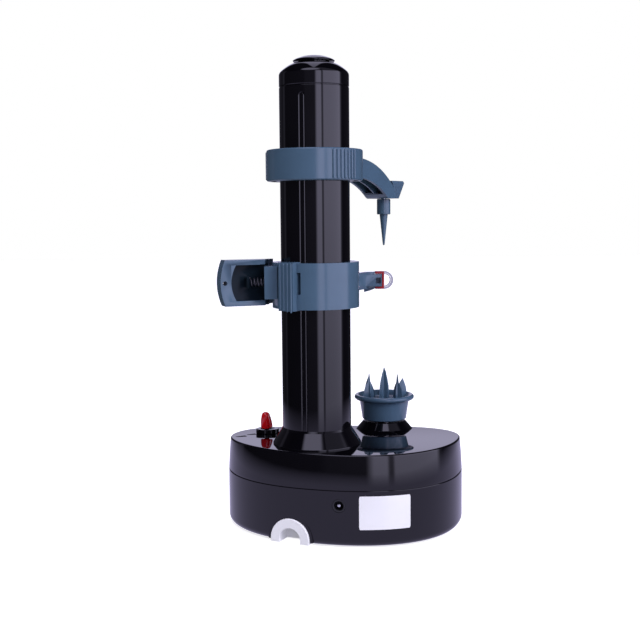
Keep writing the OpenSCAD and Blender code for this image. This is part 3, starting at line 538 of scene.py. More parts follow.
@dataclass(frozen=True)
class Finish:
    """One surface finish, made of procedural nodes on Object coordinates; it may also paint shade
    from a face attribute.
    """

    name: str
    colour: Point3
    roughness: float
    grain: Grain = Grain.EVEN
    metallic: float = 0.0
    transmission: float = 0.0
    ior: float = 1.5
    coat: float = 0.0
    coat_roughness: float = 0.04
    spread: float = 0.05
    rough_spread: float = 0.05
    bump: float = 0.05
    bump_depth: float = 0.0001
    grain_size: float = 0.4
    cloud_scale: float = 60.0
    specular: float = 0.5
    # Face attribute that paints shade: under 1 it darkens colour and gloss.
    shade_by: str = ""

    def build(self) -> bpy.types.Material:
        """Builds the material.

        Returns:
            The material, or the one already built.
        """
        known = bpy.data.materials.get(self.name)
        if known:
            return known
        mat = bpy.data.materials.new(self.name)
        mat.use_nodes = True
        tree = mat.node_tree
        where = add_node(tree, "ShaderNodeTexCoord").outputs["Object"]
        if self.grain is not Grain.EVEN:
            stretch = {"Scale": self.grain.value, "Vector": where}
            where = add_node(tree, "ShaderNodeMapping", stretch).outputs["Vector"]
        scales = ((self.cloud_scale, 3), (1 / (self.grain_size * MM), 4))
        cloud, fine = (add_node(tree, "ShaderNodeTexNoise", {
            "Scale": scale, "Detail": detail, "Vector": where}) for scale, detail in scales)
        bump = add_node(tree, "ShaderNodeBump", {"Strength": self.bump, "Distance": self.bump_depth,
                                                 "Height": fine.outputs["Fac"]})
        smooth = max(0.0, self.roughness - self.rough_spread)
        rough = self.roughness + self.rough_spread
        shader = tree.nodes["Principled BSDF"]
        set_inputs(tree, shader, {
            "Metallic": self.metallic,
            "IOR": self.ior,
            "Transmission Weight": self.transmission,
            "Coat Weight": self.coat,
            "Coat Roughness": self.coat_roughness,
            "Base Color": self._colour(tree, cloud.outputs["Fac"]),
            "Roughness": spread_over(tree, fine.outputs["Fac"], (*NOISE_RANGE, smooth, rough)),
            "Normal": bump.outputs["Normal"],
        })
        # Painted shade, where the finish names an attribute.
        if self.shade_by:
            self._shade(tree, shader)
        return mat

    def _colour(self, tree: bpy.types.NodeTree,
                cloud: bpy.types.NodeSocket) -> bpy.types.NodeSocket:
        """Varies the colour a little from place to place.

        Args:
            tree: the material's tree.
            cloud: the noise to follow.

        Returns:
            The socket of the colour.
        """
        low, high = NOISE_RANGE
        stops = ((low, 1 - self.spread), ((low + high) / 2, 1), (high, 1 + self.spread))
        ramp = add_node(tree, "ShaderNodeValToRGB", {"Fac": cloud})
        fill_ramp(ramp.color_ramp, [(at, [min(1.0, c * factor) for c in self.colour])
                                    for at, factor in stops])
        return ramp.outputs["Color"]

    def _shade(self, tree: bpy.types.NodeTree, shader: bpy.types.Node) -> None:
        """Paints shade: darkens colour and gloss by the piece's own attribute.

        Args:
            tree: the material's tree.
            shader: its shader, with a colour linked.
        """
        given = add_node(tree, "ShaderNodeAttribute", attribute_name=self.shade_by)
        plain = shader.inputs["Base Color"].links[0].from_socket
        mix = add_node(tree, "ShaderNodeMix", {"Factor": 1.0, 6: plain, 7: given.outputs["Color"]},
                       data_type="RGBA", blend_type="MULTIPLY")
        gloss = maths(tree, "MULTIPLY", given.outputs["Fac"], self.specular)
        set_inputs(tree, shader, {"Base Color": mix.outputs[2], "Specular IOR Level": gloss})


BLACK = Finish("black_gloss", (0.0016, 0.0014, 0.0024), 0.035,
               spread=0.15, rough_spread=0.02, bump=0.015, grain_size=1.4)
BLACK_DARK = Finish("black_inner", (0.010, 0.010, 0.012), 0.35, bump=0.1)
SLATE = Finish("slate_plastic", (0.060, 0.108, 0.164), 0.17,
               spread=0.06, rough_spread=0.04, bump=0.10, grain_size=0.35)
# Slate with painted shade: a face attribute darkens colour and gloss in the lever's finger pocket.
SLATE_PAINTED_SHADE = replace(SLATE, name="slate_painted_shade", roughness=0.22, shade_by="shade")
RED = Finish("red_gloss", (0.62, 0.006, 0.010), 0.12, coat=0.3, rough_spread=0.03, bump=0.03)
RED_CLIP = Finish("red_clip", (0.30, 0.008, 0.014), 0.18,
                  spread=0.08, rough_spread=0.04, bump=0.04)
CLEAR = Finish("clear_guard", (0.96, 0.98, 1.0), 0.03, transmission=1.0, ior=1.46,
               spread=0.01, rough_spread=0.02, bump=0.02)
STEEL = Finish("bright_steel", (0.60, 0.61, 0.63), 0.22, Grain.BRUSHED, metallic=1.0,
               spread=0.06, rough_spread=0.08, bump=0.1, grain_size=0.25)
SPRING_STEEL = Finish("spring_steel", (0.16, 0.16, 0.17), 0.42, metallic=1.0)
BLADE_STEEL = Finish("blade_steel", (0.72, 0.73, 0.75), 0.10, Grain.BRUSHED, metallic=1.0,
                     spread=0.04, grain_size=0.2)
BRONZE = Finish("bronze", (0.46, 0.32, 0.14), 0.35, metallic=1.0, spread=0.08, bump=0.2)
GEAR = Finish("gear_plastic", (0.70, 0.68, 0.62), 0.40, bump=0.1)
WHITE = Finish("white_plastic", (0.90, 0.90, 0.91), 0.30, spread=0.02, bump=0.08)
LABEL = Finish("bare_label", (0.84, 0.84, 0.86), 0.42, spread=0.03, bump=0.1, grain_size=0.2)
RUBBER = Finish("black_rubber", (0.018, 0.018, 0.018), 0.70, spread=0.15, bump=0.3)
MARK = Finish("print_mark", (0.008, 0.008, 0.010), 0.9, spread=0.04)

NODE_FINISHES = {
    STEEL: ("gear_plate", "gear_axles", "motor_case", "plate_screws", "motor_screws",
            "spindle_shaft", "spindle_clip", "motor_shaft", "spike_pin", "hinge_pins"),
    BRONZE: ("screw_bushes", "spindle_bushes", "motor_pinion"),
    GEAR: ("spindle_gear", "compound_gear", "idler_gear", "screw_gear", "half_nut"),
    BLACK_DARK: ("switch_body",),
    BLADE_STEEL: ("knife_blade",),
}


def paint(obj: bpy.types.Object, finish: Finish) -> None:
    """Gives a mesh one finish all over."""
    obj.data.materials.clear()
    obj.data.materials.append(finish.build())


def dress_nodes() -> None:
    """Gives every CAD node that stays visible its finish."""
    for finish, nodes in NODE_FINISHES.items():
        for node in nodes:
            paint(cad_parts[node], finish)


def dress(obj: bpy.types.Object, finish: Finish, body: str, slot: str, *nodes: str) -> None:
    """Gives a finished piece its material and its body, and hides the nodes it stands for.

    Args:
        obj: the piece.
        finish: its surface finish.
        body: the CAD body that it moves with.
        slot: the record's material slot; not used.
        nodes: CAD nodes that it replaces.
    """
    paint(obj, finish)
    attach(obj, body)
    if nodes:
        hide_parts(*nodes)
    LOG.info("%s rides on %s, %d faces", obj.name, body, len(obj.data.polygons))


def dress_between(obj: bpy.types.Object, finish: Finish, bodies: tuple[str, str],
                  ends: tuple[Point3, Point3], slot: str, *nodes: str) -> None:
    """Dresses a piece that runs between two bodies, such as a spring, fixed in place and attached
    to neither.

    Args:
        obj: the piece, in place.
        finish: its surface finish.
        bodies: the CAD bodies at its first and its second end, named only in the log.
        ends: the two ends, in millimetres; not used.
        slot: the record's material slot; not used.
        nodes: CAD nodes that it replaces.
    """
    paint(obj, finish)
    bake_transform(obj)
    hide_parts(*nodes)
    LOG.info("%s joins %s and %s, %d faces", obj.name, *bodies, len(obj.data.polygons))


# ------------------------------------------------------------- geometry nodes
class NodeArray:
    """Geometry Nodes trees for the details that repeat."""

    @staticmethod
    def _tree(name: str, sockets: dict[str, str]) -> tuple[bpy.types.NodeTree, bpy.types.Node]:
        """Starts a tree with a geometry input, named inputs, a material and one output.

        Args:
            name: name of the tree.
            sockets: kinds of the named inputs, without NodeSocket.

        Returns:
            The tree and the node of its inputs.
        """
        tree = bpy.data.node_groups.new(name, "GeometryNodeTree")
        for label, kind in {"Geometry": "Geometry", **sockets, "Material": "Material"}.items():
            tree.interface.new_socket(label, in_out="INPUT", socket_type="NodeSocket" + kind)
        tree.interface.new_socket("Geometry", in_out="OUTPUT", socket_type="NodeSocketGeometry")
        return tree, add_node(tree, "NodeGroupInput")

    @staticmethod
    def _end(tree: bpy.types.NodeTree, given: bpy.types.Node,
             source: bpy.types.NodeSocket) -> None:
        """Ends a tree in Realize Instances and Set Material.

        Args:
            tree: the tree.
            given: the node of its inputs.
            source: the geometry to hand out.
        """
        real = add_node(tree, "GeometryNodeRealizeInstances", {"Geometry": source})
        coat = add_node(tree, "GeometryNodeSetMaterial", {"Geometry": real.outputs["Geometry"],
                                                          "Material": given.outputs["Material"]})
        add_node(tree, "NodeGroupOutput", {"Geometry": coat.outputs["Geometry"]})

    @staticmethod
    def _bake(obj: bpy.types.Object, tree: bpy.types.NodeTree, values: dict[str, object]) -> None:
        """Runs a tree on an object and keeps the result as a plain mesh.

        Args:
            obj: the object.
            tree: the tree.
            values: its named inputs.
        """
        mod = obj.modifiers.new("array", "NODES")
        mod.node_group = tree
        for item in tree.interface.items_tree:
            if item.item_type == "SOCKET" and item.in_out == "INPUT" and item.name in values:
                mod[item.identifier] = values[item.name]
        keep_result(obj)

    @classmethod
    def on_arc(cls, template: bpy.types.Object, count: int, start: float, step: float,
               centre: Point, finish: Finish) -> bpy.types.Object:
        """Repeats a mesh round a vertical axis.

        Args:
            template: the mesh, placed as if the axis were the origin.
            count: number of copies.
            start: direction of the first copy in degrees.
            step: degrees between copies.
            centre: the axis in millimetres.
            finish: material set on the copies.

        Returns:
            The same object with all the copies as one mesh.
        """
        tree, given = cls._tree("array_on_arc", {"Count": "Int", "Start": "Float",
                                                 "Step": "Float", "Centre": "Vector"})
        line = add_node(tree, "GeometryNodeMeshLine", {"Offset": (0, 0, 0),
                                                       "Count": given.outputs["Count"]})
        index = add_node(tree, "GeometryNodeInputIndex").outputs["Index"]
        turn = maths(tree, "MULTIPLY_ADD", index, given.outputs["Step"], given.outputs["Start"])
        spin = add_node(tree, "ShaderNodeCombineXYZ", {"Z": turn})
        copies = add_node(tree, "GeometryNodeInstanceOnPoints", {
            "Points": line.outputs["Mesh"], "Instance": given.outputs["Geometry"],
            "Rotation": spin.outputs["Vector"]})
        move = add_node(tree, "GeometryNodeTransform", {"Geometry": copies.outputs["Instances"],
                                                        "Translation": given.outputs["Centre"]})
        cls._end(tree, given, move.outputs["Geometry"])
        cls._bake(template, tree, {"Count": count, "Start": math.radians(start),
                                   "Step": math.radians(step),
                                   "Centre": Vector((*centre, 0)) * MM,
                                   "Material": finish.build()})
        return template

    @classmethod
    def at_points(cls, name: str, points: Sequence[Point3], template: bpy.types.Object,
                  finish: Finish) -> bpy.types.Object:
        """Stands a copy of a mesh on each of some points.

        Args:
            name: name of the piece.
            points: the places in millimetres.
            template: the mesh, placed round the origin; it is used up.
            finish: material set on the copies.

        Returns:
            The new object with all the copies as one mesh.
        """
        tree, given = cls._tree("array_at_points", {"Template": "Object"})
        info = add_node(tree, "GeometryNodeObjectInfo", {"Object": given.outputs["Template"]})
        copies = add_node(tree, "GeometryNodeInstanceOnPoints", {
            "Points": given.outputs["Geometry"], "Instance": info.outputs["Geometry"]})
        cls._end(tree, given, copies.outputs["Instances"])
        obj = from_lists(name, points, [])
        cls._bake(obj, tree, {"Template": template, "Material": finish.build()})
        bpy.data.objects.remove(template, do_unlink=True)
        return obj

    @classmethod
    def thread(cls, core: bpy.types.Object, radius: float, ridge: float, pitch: float,
               ends: Point, centre: Point, finish: Finish) -> bpy.types.Object:
        """Winds a screw thread round a core.

        Args:
            core: the rod that carries the thread.
            radius: radius of the thread's middle line.
            ridge: half thickness of the thread's ridge.
            pitch: rise of one turn.
            ends: heights where the thread starts and ends.
            centre: the axis.
            finish: material set on rod and thread.

        Returns:
            The same object with core and thread as one mesh.
        """
        tree, given = cls._tree("screw_thread", {"Turns": "Float", "Radius": "Float",
                                                 "Ridge": "Float", "Height": "Float",
                                                 "Foot": "Vector"})
        spiral = add_node(tree, "GeometryNodeCurveSpiral", {
            "Resolution": 20, "Rotations": given.outputs["Turns"],
            "Start Radius": given.outputs["Radius"], "End Radius": given.outputs["Radius"],
            "Height": given.outputs["Height"]})
        section = add_node(tree, "GeometryNodeCurvePrimitiveCircle", {
            "Resolution": 6, "Radius": given.outputs["Ridge"]})
        sweep = add_node(tree, "GeometryNodeCurveToMesh", {
            "Fill Caps": True, "Curve": spiral.outputs["Curve"],
            "Profile Curve": section.outputs["Curve"]})
        move = add_node(tree, "GeometryNodeTransform", {"Geometry": sweep.outputs["Mesh"],
                                                        "Translation": given.outputs["Foot"]})
        both = add_node(tree, "GeometryNodeJoinGeometry")
        for part in (given, move):
            set_inputs(tree, both, {"Geometry": part.outputs["Geometry"]})
        cls._end(tree, given, both.outputs["Geometry"])
        low, high = ends
        cls._bake(core, tree, {"Turns": (high - low) / pitch, "Radius": radius * MM,
                               "Ridge": ridge * MM, "Height": (high - low) * MM,
                               "Foot": Vector((*centre, low)) * MM, "Material": finish.build()})
        return core


# ---------------------------------------------------------------- the product
@dataclass(frozen=True)
class Layout:
    """Axes that several sub-assemblies share."""

    column: Point = (-17.0, -26.0)
    food: Point = (26.5, 32.0)
    switch: Point = (-48.3, 10.0)
    food_turn: float = 53.13

    def at_column(self) -> Matrix:
        """Returns the unturned frame on the column axis."""
        return moved(*self.column)

    def to_food(self) -> Matrix:
        """Returns the frame on the column axis whose X points to the food axis."""
        return self.at_column() @ turned(self.food_turn)


@dataclass
class BaseShells:
    """The oval base: lower shell, curved cover, feet, screws, label and socket.

    A place on the oval outline is given by its parameter angle in degrees,
    and an inset is measured inwards from the wall's face.
    """

    layout: Layout
    half_l: float = 72.1
    half_w: float = 61.1
    turn: float = -17.3
    square: float = 2.2
    count: int = 180
    low: float = 0.8
    seam: float = 33.4
    crest: float = 54.0
    crest_y: float = -40.0
    curve: float = 680.0
    lean: float = 1.3
    rim: float = 1.0
    wall: float = 2.5
    skirt: float = 4.0
    foot_round: float = 4.4
    overrun: float = 1.0
    cover_shares: tuple[float, ...] = (0.08, 0.22, 0.38, 0.54, 0.7, 0.84, 0.94, 1.0)
    cover_side: Point = (0.62, 44.0)
    cover_groove: Profile = ((0.05, 1.0), (0.16, 0.72), (0.6, 0.6), (0.6, 0.0))
    column_hole: float = 20.4
    spindle_hole: float = 9.1
    switch_hole: float = 4.2
    hole_lift: float = 6.0
    floor_shares: tuple[float, ...] = (1.0, 0.85, 0.6, 0.3, 0.1)
    tub_lip: Profile = ((0.5, 0.0), (0.14, 0.12), (0.0, 0.4))
    post_shares: Profile = ((-0.59, -0.63), (-0.8, 0.29), (0.52, -0.65), (0.81, 0.126))
    post_radius: float = 4.0
    post_low: float = 2.6
    post_gap: float = 0.1
    well_radius: float = 2.9
    well_high: float = 26.0
    screw_profile: Profile = ((0, 24.2), (1.6, 24.2), (2.5, 24.7), (2.8, 25.4), (2.8, 26),
                              (1.4, 26), (1.4, 39.6), (0.7, 40), (0, 40))
    driver_low: Point3 = (-1.5, -0.3, 23.5)
    driver_high: Point3 = (1.5, 0.3, 25.2)
    driver_turns: Point = (20, 110)
    foot_shares: Point = (0.693, 0.458)
    foot_seat: Point = (6.0, 2.0)
    foot_profile: Profile = ((0, 0.5), (1.6, 0.5), (2.2, 0.0), (5.4, 0.0), (5.85, 0.35),
                             (6.0, 0.8), (6.0, 2.0), (0, 2.0))
    bay: Point = (-100.9, 2.8)
    bay_floor: float = 2.0
    bay_radius: float = 12.6
    bay_outer: float = 14.2
    bay_shell: Point = (12.6, 12.2)
    bay_hollow: Point = (11.0, 18.0)
    socket: Point = (-80.9, 24.7)
    socket_hole: Point3 = (3.9, 4.0, 6.0)
    socket_profile: Corners = (
        (0, -8.0, 0), (2.75, -8.0, 0), (2.75, -0.25, 0.2), (3.85, -0.25, 0.15), (3.85, -3.0, 0),
        (4.4, -3.0, 0), (4.4, -11.9, 0.4), (0, -11.9, 0))
    pin_profile: Profile = ((0, -8.6), (1.0, -8.6), (1.0, -1.5), (0.86, -1.12), (0.5, -1.0),
                            (0, -1.0))
    plate_turn: float = -59.5
    plate_half: float = 14.8
    plate_low: float = 11.2
    plate_high: float = 30.5
    plate_corner: float = 0.4
    plate_skin: Point = (0.22, 0.02)
    plate_grid: tuple[int, int] = (24, 16)

    def _turned(self, x: float, y: float) -> Point:
        """Turns a place of the base's own frame into the model's frame."""
        a = math.radians(self.turn)
        return x * math.cos(a) - y * math.sin(a), x * math.sin(a) + y * math.cos(a)

    def site(self, degrees: float, inset: float = 0, share: float = 1) -> Point:
        """Returns a point of the outline.

        Args:
            degrees: parameter angle.
            inset: how far the outline is moved in.
            share: how much it is scaled after that.

        Returns:
            The point.
        """
        t, p = math.radians(degrees), 2 / self.square
        x = (self.half_l - inset) * share * math.copysign(abs(math.cos(t)) ** p, math.cos(t))
        y = (self.half_w - inset) * share * math.copysign(abs(math.sin(t)) ** p, math.sin(t))
        return self._turned(x, y)

    def facing(self, degrees: float) -> float:
        """Returns the direction that the wall faces.

        Args:
            degrees: parameter angle.

        Returns:
            The direction in degrees.
        """
        t, p = math.radians(degrees), 2 - 2 / self.square
        nx = math.copysign(abs(math.cos(t)) ** p, math.cos(t)) / self.half_l
        ny = math.copysign(abs(math.sin(t)) ** p, math.sin(t)) / self.half_w
        return self.turn + math.degrees(math.atan2(ny, nx))

    def through_wall(self, obj: bpy.types.Object, at: Point, depth: float = 0) -> bpy.types.Object:
        """Points a piece that is made along Z out of the wall.

        Args:
            obj: the piece.
            at: parameter angle and height.
            depth: how far inside the wall's face the piece starts.

        Returns:
            The same piece.
        """
        degrees, height = at
        on_wall = moved(*self.site(degrees), height) @ turned(self.facing(degrees))
        return place(obj, on_wall @ moved(-depth, 0) @ turned(90, "Y"))

    def cover_z(self, y: float) -> float:
        """Returns the height of the cover's top at a distance behind the centre."""
        return self.crest - self.curve + math.sqrt(self.curve ** 2 - (y - self.crest_y) ** 2)

    def over(self, drop: float) -> Callable[[float], float]:
        """Returns the height curve that lies a distance under the cover's top."""
        return lambda y: self.cover_z(y) - drop

    def ring(self, inset: float, height: float | Callable[[float], float],
             share: float = 1) -> list[Point3]:
        """Returns one closed ring of the outline.

        Args:
            inset: how far the outline is moved in.
            height: its height, or a curve of heights over y.
            share: how much the ring is scaled.

        Returns:
            The points.
        """
        sites = (self.site(360 * k / self.count, inset, share) for k in range(self.count))
        return [(x, y, height(y) if callable(height) else height) for x, y in sites]

    def cover(self) -> None:
        """Builds the cover with its rim, its seam groove and its openings."""
        steps, under = 5, self.over(self.wall)
        rings = [[(0, 0, self.cover_z(0))]]
        rings += [self.ring(self.lean + self.rim, self.over(0), s) for s in self.cover_shares]
        for k in range(1, steps + 1):
            a = math.pi / 2 * k / steps
            inset = self.lean + self.rim * (1 - math.sin(a))
            rings.append(self.ring(inset, self.over(self.rim * (1 - math.cos(a)))))
        rings.append(self.ring(*self.cover_side))
        rings += [self.ring(inset, self.seam + up) for inset, up in self.cover_groove]
        rings += [self.ring(self.wall, self.seam + up) for up in (0, self.skirt)]
        rings += [self.ring(self.wall + self.lean, under, s) for s in reversed(self.cover_shares)]
        rings.append([(0, 0, self.cover_z(0) - self.wall)])
        shell = loft("base_cover", rings)
        heights = (self.seam + self.hole_lift, self.crest + self.hole_lift)
        for radius, centre in ((self.column_hole, self.layout.column),
                               (self.spindle_hole, self.layout.food),
                               (self.switch_hole, self.layout.switch)):
            combine(shell, rod("hole", radius, *heights, centre))
        dress(shade(shell, SHELL_ANGLE), BLACK, "housing", "black", "upper_shell")

    def tub(self) -> None:
        """Builds the lower shell with its knife bay, its posts and its holes."""
        steps, inner = 6, self.low + self.wall
        rings = [[(0, 0, inner)]]
        rings += [self.ring(self.wall, inner, s) for s in reversed(self.floor_shares)]
        rings.append(self.ring(self.wall, self.seam))
        rings += [self.ring(inset, self.seam - drop) for inset, drop in self.tub_lip]
        for k in range(steps + 1):
            a = math.pi / 2 * k / steps
            inset, up = (self.foot_round * (1 - part) for part in (math.cos(a), math.sin(a)))
            rings.append(self.ring(inset, self.low + up))
        rings += [self.ring(self.foot_round, self.low, s) for s in self.floor_shares[1:]]
        rings.append([(0, 0, self.low)])
        shell = loft("base_tub", rings)
        for centre in self.posts():
            post = rod("post", self.post_radius, self.post_low, self.seam - self.post_gap,
                       centre, 32)
            combine(shell, post, Join.ADD)
            combine(shell, rod("well", self.well_radius, -self.overrun, self.well_high, centre, 32))
        self._knife_bay(shell)
        radius, depth, length = self.socket_hole
        hole = rod("port_cut", radius, 0, length)
        combine(shell, self.through_wall(hole, self.socket, depth))
        radius, high = self.foot_seat
        for centre in self.feet_sites():
            combine(shell, rod("foot_seat", radius, -self.overrun, high, centre))
        dress(shade(shell, SHELL_ANGLE), BLACK, "housing", "black", "lower_shell")

    def _knife_bay(self, shell: bpy.types.Object) -> None:
        """Adds the arched bay of the pull-out knife.

        Args:
            shell: the lower shell.
        """
        (depth, length), wide, under = self.bay_shell, 100, 40
        blank = rod("bay_blank", self.bay_outer, 0, length, count=64)
        self.through_wall(blank, self.bay, depth)
        combine(blank, slab("bay_floor", (-wide, -wide, -under), (wide, wide, self.bay_floor)))
        combine(shell, blank, Join.ADD)
        depth, length = self.bay_hollow
        hollow = rod("bay_cut", self.bay_radius, 0, length, count=96)
        combine(shell, self.through_wall(hollow, self.bay, depth))

    def posts(self) -> list[Point]:
        """Returns the places of the four screw posts."""
        return [self._turned(x * self.half_l, y * self.half_w) for x, y in self.post_shares]

    def feet_sites(self) -> list[Point]:
        """Returns the places of the four feet."""
        x, y = self.foot_shares[0] * self.half_l, self.foot_shares[1] * self.half_w
        return [self._turned(sx * x, sy * y) for sx in (-1, 1) for sy in (-1, 1)]

    def feet(self) -> None:
        """Builds the rubber feet with their rounded edge and middle dimple."""
        foot = lathe("foot_template", self.foot_profile, count=48)
        sites = [(*site, 0) for site in self.feet_sites()]
        feet = NodeArray.at_points("foot_pads", sites, foot, RUBBER)
        dress(shade(feet), RUBBER, "housing", "rubber", "rubber_feet")

    def screws(self) -> None:
        """Builds the housing screws with their crossed heads."""
        screw = lathe("screw_template", self.screw_profile, count=32)
        for turn in self.driver_turns:
            arm = slab("driver", self.driver_low, self.driver_high)
            combine(screw, place(arm, turned(turn)))
        sites = [(*site, 0) for site in self.posts()]
        screws = NodeArray.at_points("case_screws", sites, screw, STEEL)
        dress(shade(screws), STEEL, "housing", "steel", "housing_screws")

    def wall_angles(self, wants: Sequence[float]) -> list[float]:
        """Finds places along the wall by their distance from the rating plate's middle.

        Args:
            wants: distances along the plate in millimetres.

        Returns:
            The parameter angle of each, between the nearest of closely spaced angles.
        """
        (x0, y0), (sx, sy) = self.site(self.plate_turn), polar(1, self.facing(self.plate_turn) + 90)
        step, count = 0.25, 64
        angles = [self.plate_turn + k * step for k in range(-count, count + 1)]
        spread = [(t, (x - x0) * sx + (y - y0) * sy) for t in angles for x, y in [self.site(t)]]
        found = []
        for want in wants:
            found.append(next(a + (b - a) * (want - at_a) / (at_b - at_a)
                              for (a, at_a), (b, at_b) in zip(spread, spread[1:])
                              if (at_a - want) * (at_b - want) <= 0))
        return found

    def label(self) -> None:
        """Builds the bare rating plate as a thin skin with eased corners on the wall."""
        columns, rows = self.plate_grid
        low, high, corner = self.plate_low, self.plate_high, self.plate_corner
        verts: list[Point3] = []
        for layer in self.plate_skin:
            for j in range(rows + 1):
                z = low + (high - low) * j / rows
                near = max(0.0, corner - min(z - low, high - z))
                edge = self.plate_half - (corner - math.sqrt(max(0.0, corner ** 2 - near ** 2)))
                wants = [edge * (2 * i / columns - 1) for i in range(columns + 1)]
                for t in self.wall_angles(wants):
                    (x, y), (nx, ny) = self.site(t), polar(layer, self.facing(t))
                    verts.append((x + nx, y + ny, z))
        row = columns + 1
        size = row * (rows + 1)
        faces = []
        for a in (j * row + i for j in range(rows) for i in range(columns)):
            quad = [a, a + 1, a + row + 1, a + row]
            faces += [quad, [q + size for q in reversed(quad)]]
        rim = list(range(row)) + [j * row + columns for j in range(1, rows + 1)]
        rim += [rows * row + i for i in range(columns - 1, -1, -1)]
        rim += [j * row for j in range(rows - 1, 0, -1)]
        faces += [[q, p, p + size, q + size] for p, q in zip(rim, rim[1:] + rim[:1])]
        plate = from_lists("bare_plate", verts, faces)
        dress(shade(plate), LABEL, "housing", "label", "rating_plate")

    def port(self) -> None:
        """Builds the power socket: a face ring, a bored nose and its body."""
        port = lathe("socket_shell", rounded(self.socket_profile, 3), count=48)
        self.through_wall(port, self.socket)
        dress(shade(port), BLACK_DARK, "housing", "dark", "dc_jack")

    def pin(self) -> None:
        """Builds the socket's bright centre pin with a rounded tip."""
        pin = self.through_wall(lathe("socket_pin", self.pin_profile, count=24), self.socket)
        dress(shade(pin), STEEL, "housing", "steel", "jack_pin")

    def cut_to_cover(self, obj: bpy.types.Object) -> bpy.types.Object:
        """Cuts the foot of a piece to the cover's curve.

        Args:
            obj: the piece.

        Returns:
            The same piece.
        """
        half, low, wide = 75, 20.0, 100
        outline = [(-half, low)] + [(y, self.cover_z(y)) for y in range(-half, half + 1, 3)]
        block = prism("under_cover", outline + [(half, low)], -wide, wide)
        return combine(obj, place(block, STAND_ALONG_Y))

    def build(self) -> None:
        """Builds every piece of the base."""
        for make in (self.cover, self.tub, self.feet, self.screws, self.label, self.port, self.pin):
            make()


@dataclass
class Tower:
    """The slotted column with its flared foot, its cap, disc and lead screw."""

    base: BaseShells
    radius: float = 20.3
    bore: float = 17.8
    low: float = 20.0
    joint: float = 261.7
    joint_gap: float = 0.05
    joint_round: float = 0.35
    slot_low: Point3 = (2, -5.0, 66.0)
    slot_high: Point3 = (24, 5.0, 258.0)
    slot_edge: float = 0.25
    strip_turn: float = 249.8
    strip_half: float = 1.5
    strip_low: float = 55.0
    groove_half: float = 0.45
    groove_deep: float = 0.4
    foot_corners: Corners = ((20.3, 50.0, 0), (26.1, 50.0, 0), (26.1, 54.6, 0.5),
                             (20.9, 63.0, 1.2), (20.3, 64.2, 0))
    cap_high: float = 13.7
    cap_profile: Profile = (
        (0, 0), (19.7, 0), (19.7, 0.35), (20.1, 0.42), (20.3, 0.7), (20.3, 6.9), (20.15, 7.7),
        (19.75, 8.5), (19.0, 9.35), (17.8, 10.4), (16.2, 11.6), (14.6, 12.6), (13.2, 13.3),
        (12.3, 13.7), (0, 13.7))
    disc_profile: Profile = (
        (0, 0), (9, 0), (9, 0.9), (11.4, 0.9), (11.95, 1.15), (12.1, 1.6), (11.6, 2.1),
        (10.2, 2.75), (8.6, 3.3), (8.3, 3.3), (8.0, 3.55), (6.4, 4.0), (4.0, 4.4), (1.8, 4.58),
        (0, 4.6))
    screw_profile: Profile = ((0, 3.5), (3.95, 3.5), (3.95, 62), (3.45, 63), (3.45, 260),
                              (3.95, 260.4), (3.95, 261.5), (0, 261.5))
    thread_radius: float = 3.5
    thread_ridge: float = 0.46
    thread_pitch: float = 2.0
    thread_ends: Point = (63.5, 259.5)
    collar_corners: Corners = ((4.2, 46.0, 0), (18.2, 46.0, 0), (18.2, 50.4, 0.5),
                               (13.4, 56.0, 0.6), (4.2, 56.0, 0))

    def column(self) -> None:
        """Builds the column with its food-side slot, its shallow strip and its foot."""
        axis, high = self.base.layout.column, self.joint - self.joint_gap
        wall = ((self.bore, self.low, 0), (self.radius, self.low, 0),
                (self.radius, high, self.joint_round), (self.bore, high, 0))
        tube = lathe("column", rounded(wall), axis, 128, closed=True)
        slot = slab("slot", self.slot_low, self.slot_high)
        combine(tube, place(slot, self.base.layout.to_food()))
        bevel(tube, self.slot_edge, 2, 40)
        combine(tube, self.strip_groove())
        flare = lathe("flare", rounded(self.foot_corners), axis, 128, closed=True)
        piece = fold_in([tube, self.base.cut_to_cover(flare)], "column")
        dress(shade(piece, TURNED_ANGLE), BLACK, "housing", "black", "column_tube")

    def strip_groove(self) -> bpy.types.Object:
        """Builds the cutter of the fine groove that outlines the front strip.

        Returns:
            A bar of diamond section that runs up, over in an arch and down.
        """
        half, top = self.strip_half, self.slot_high[2] - self.strip_half - 1
        path = [(-half, self.strip_low, 0.0), (-half, top, 0.0)]
        for turn in range(18, 180, 18):
            a = math.radians(turn)
            path.append((-half * math.cos(a), top + half * math.sin(a), float(turn)))
        path += [(half, top, 180.0), (half, self.strip_low, 180.0)]
        axis = self.base.layout.column
        rings: list[list[Point3]] = []
        for across, height, turn in path:
            ring = []
            for side, out in ((-1, 0), (0, -1), (1, 0), (0, 1)):
                a = across - side * self.groove_half * math.cos(math.radians(turn))
                z = height + side * self.groove_half * math.sin(math.radians(turn))
                x, y = polar(self.radius + out * self.groove_deep,
                             self.strip_turn + math.degrees(a / self.radius))
                ring.append((axis[0] + x, axis[1] + y, z))
            rings.append(ring)
        first, last = ([tuple(sum(p[i] for p in ring) / len(ring) for i in range(3))]
                       for ring in (rings[0], rings[-1]))
        return loft("groove_cutter", [first] + rings + [last])

    def cap(self) -> None:
        """Builds the domed cap with a shadow joint at its foot."""
        profile = raised(self.cap_profile, self.joint)
        dome = lathe("tower_dome", profile, self.base.layout.column, 128)
        dress(shade(dome, TURNED_ANGLE), BLACK, "housing", "black", "tower_cap")

    def disc(self) -> None:
        """Builds the domed disc on the cap."""
        profile = raised(self.disc_profile, self.joint + self.cap_high)
        disc = lathe("dome_disc", profile, self.base.layout.column, 128)
        dress(shade(disc, TURNED_ANGLE), BLACK, "housing", "black", "cap_disc")

    def screw(self) -> None:
        """Builds the lead screw with its thread."""
        axis = self.base.layout.column
        core = lathe("drive_screw", self.screw_profile, axis, 32)
        NodeArray.thread(core, self.thread_radius, self.thread_ridge, self.thread_pitch,
                         self.thread_ends, axis, STEEL)
        dress(shade(core), STEEL, "screw", "steel", "lead_screw")

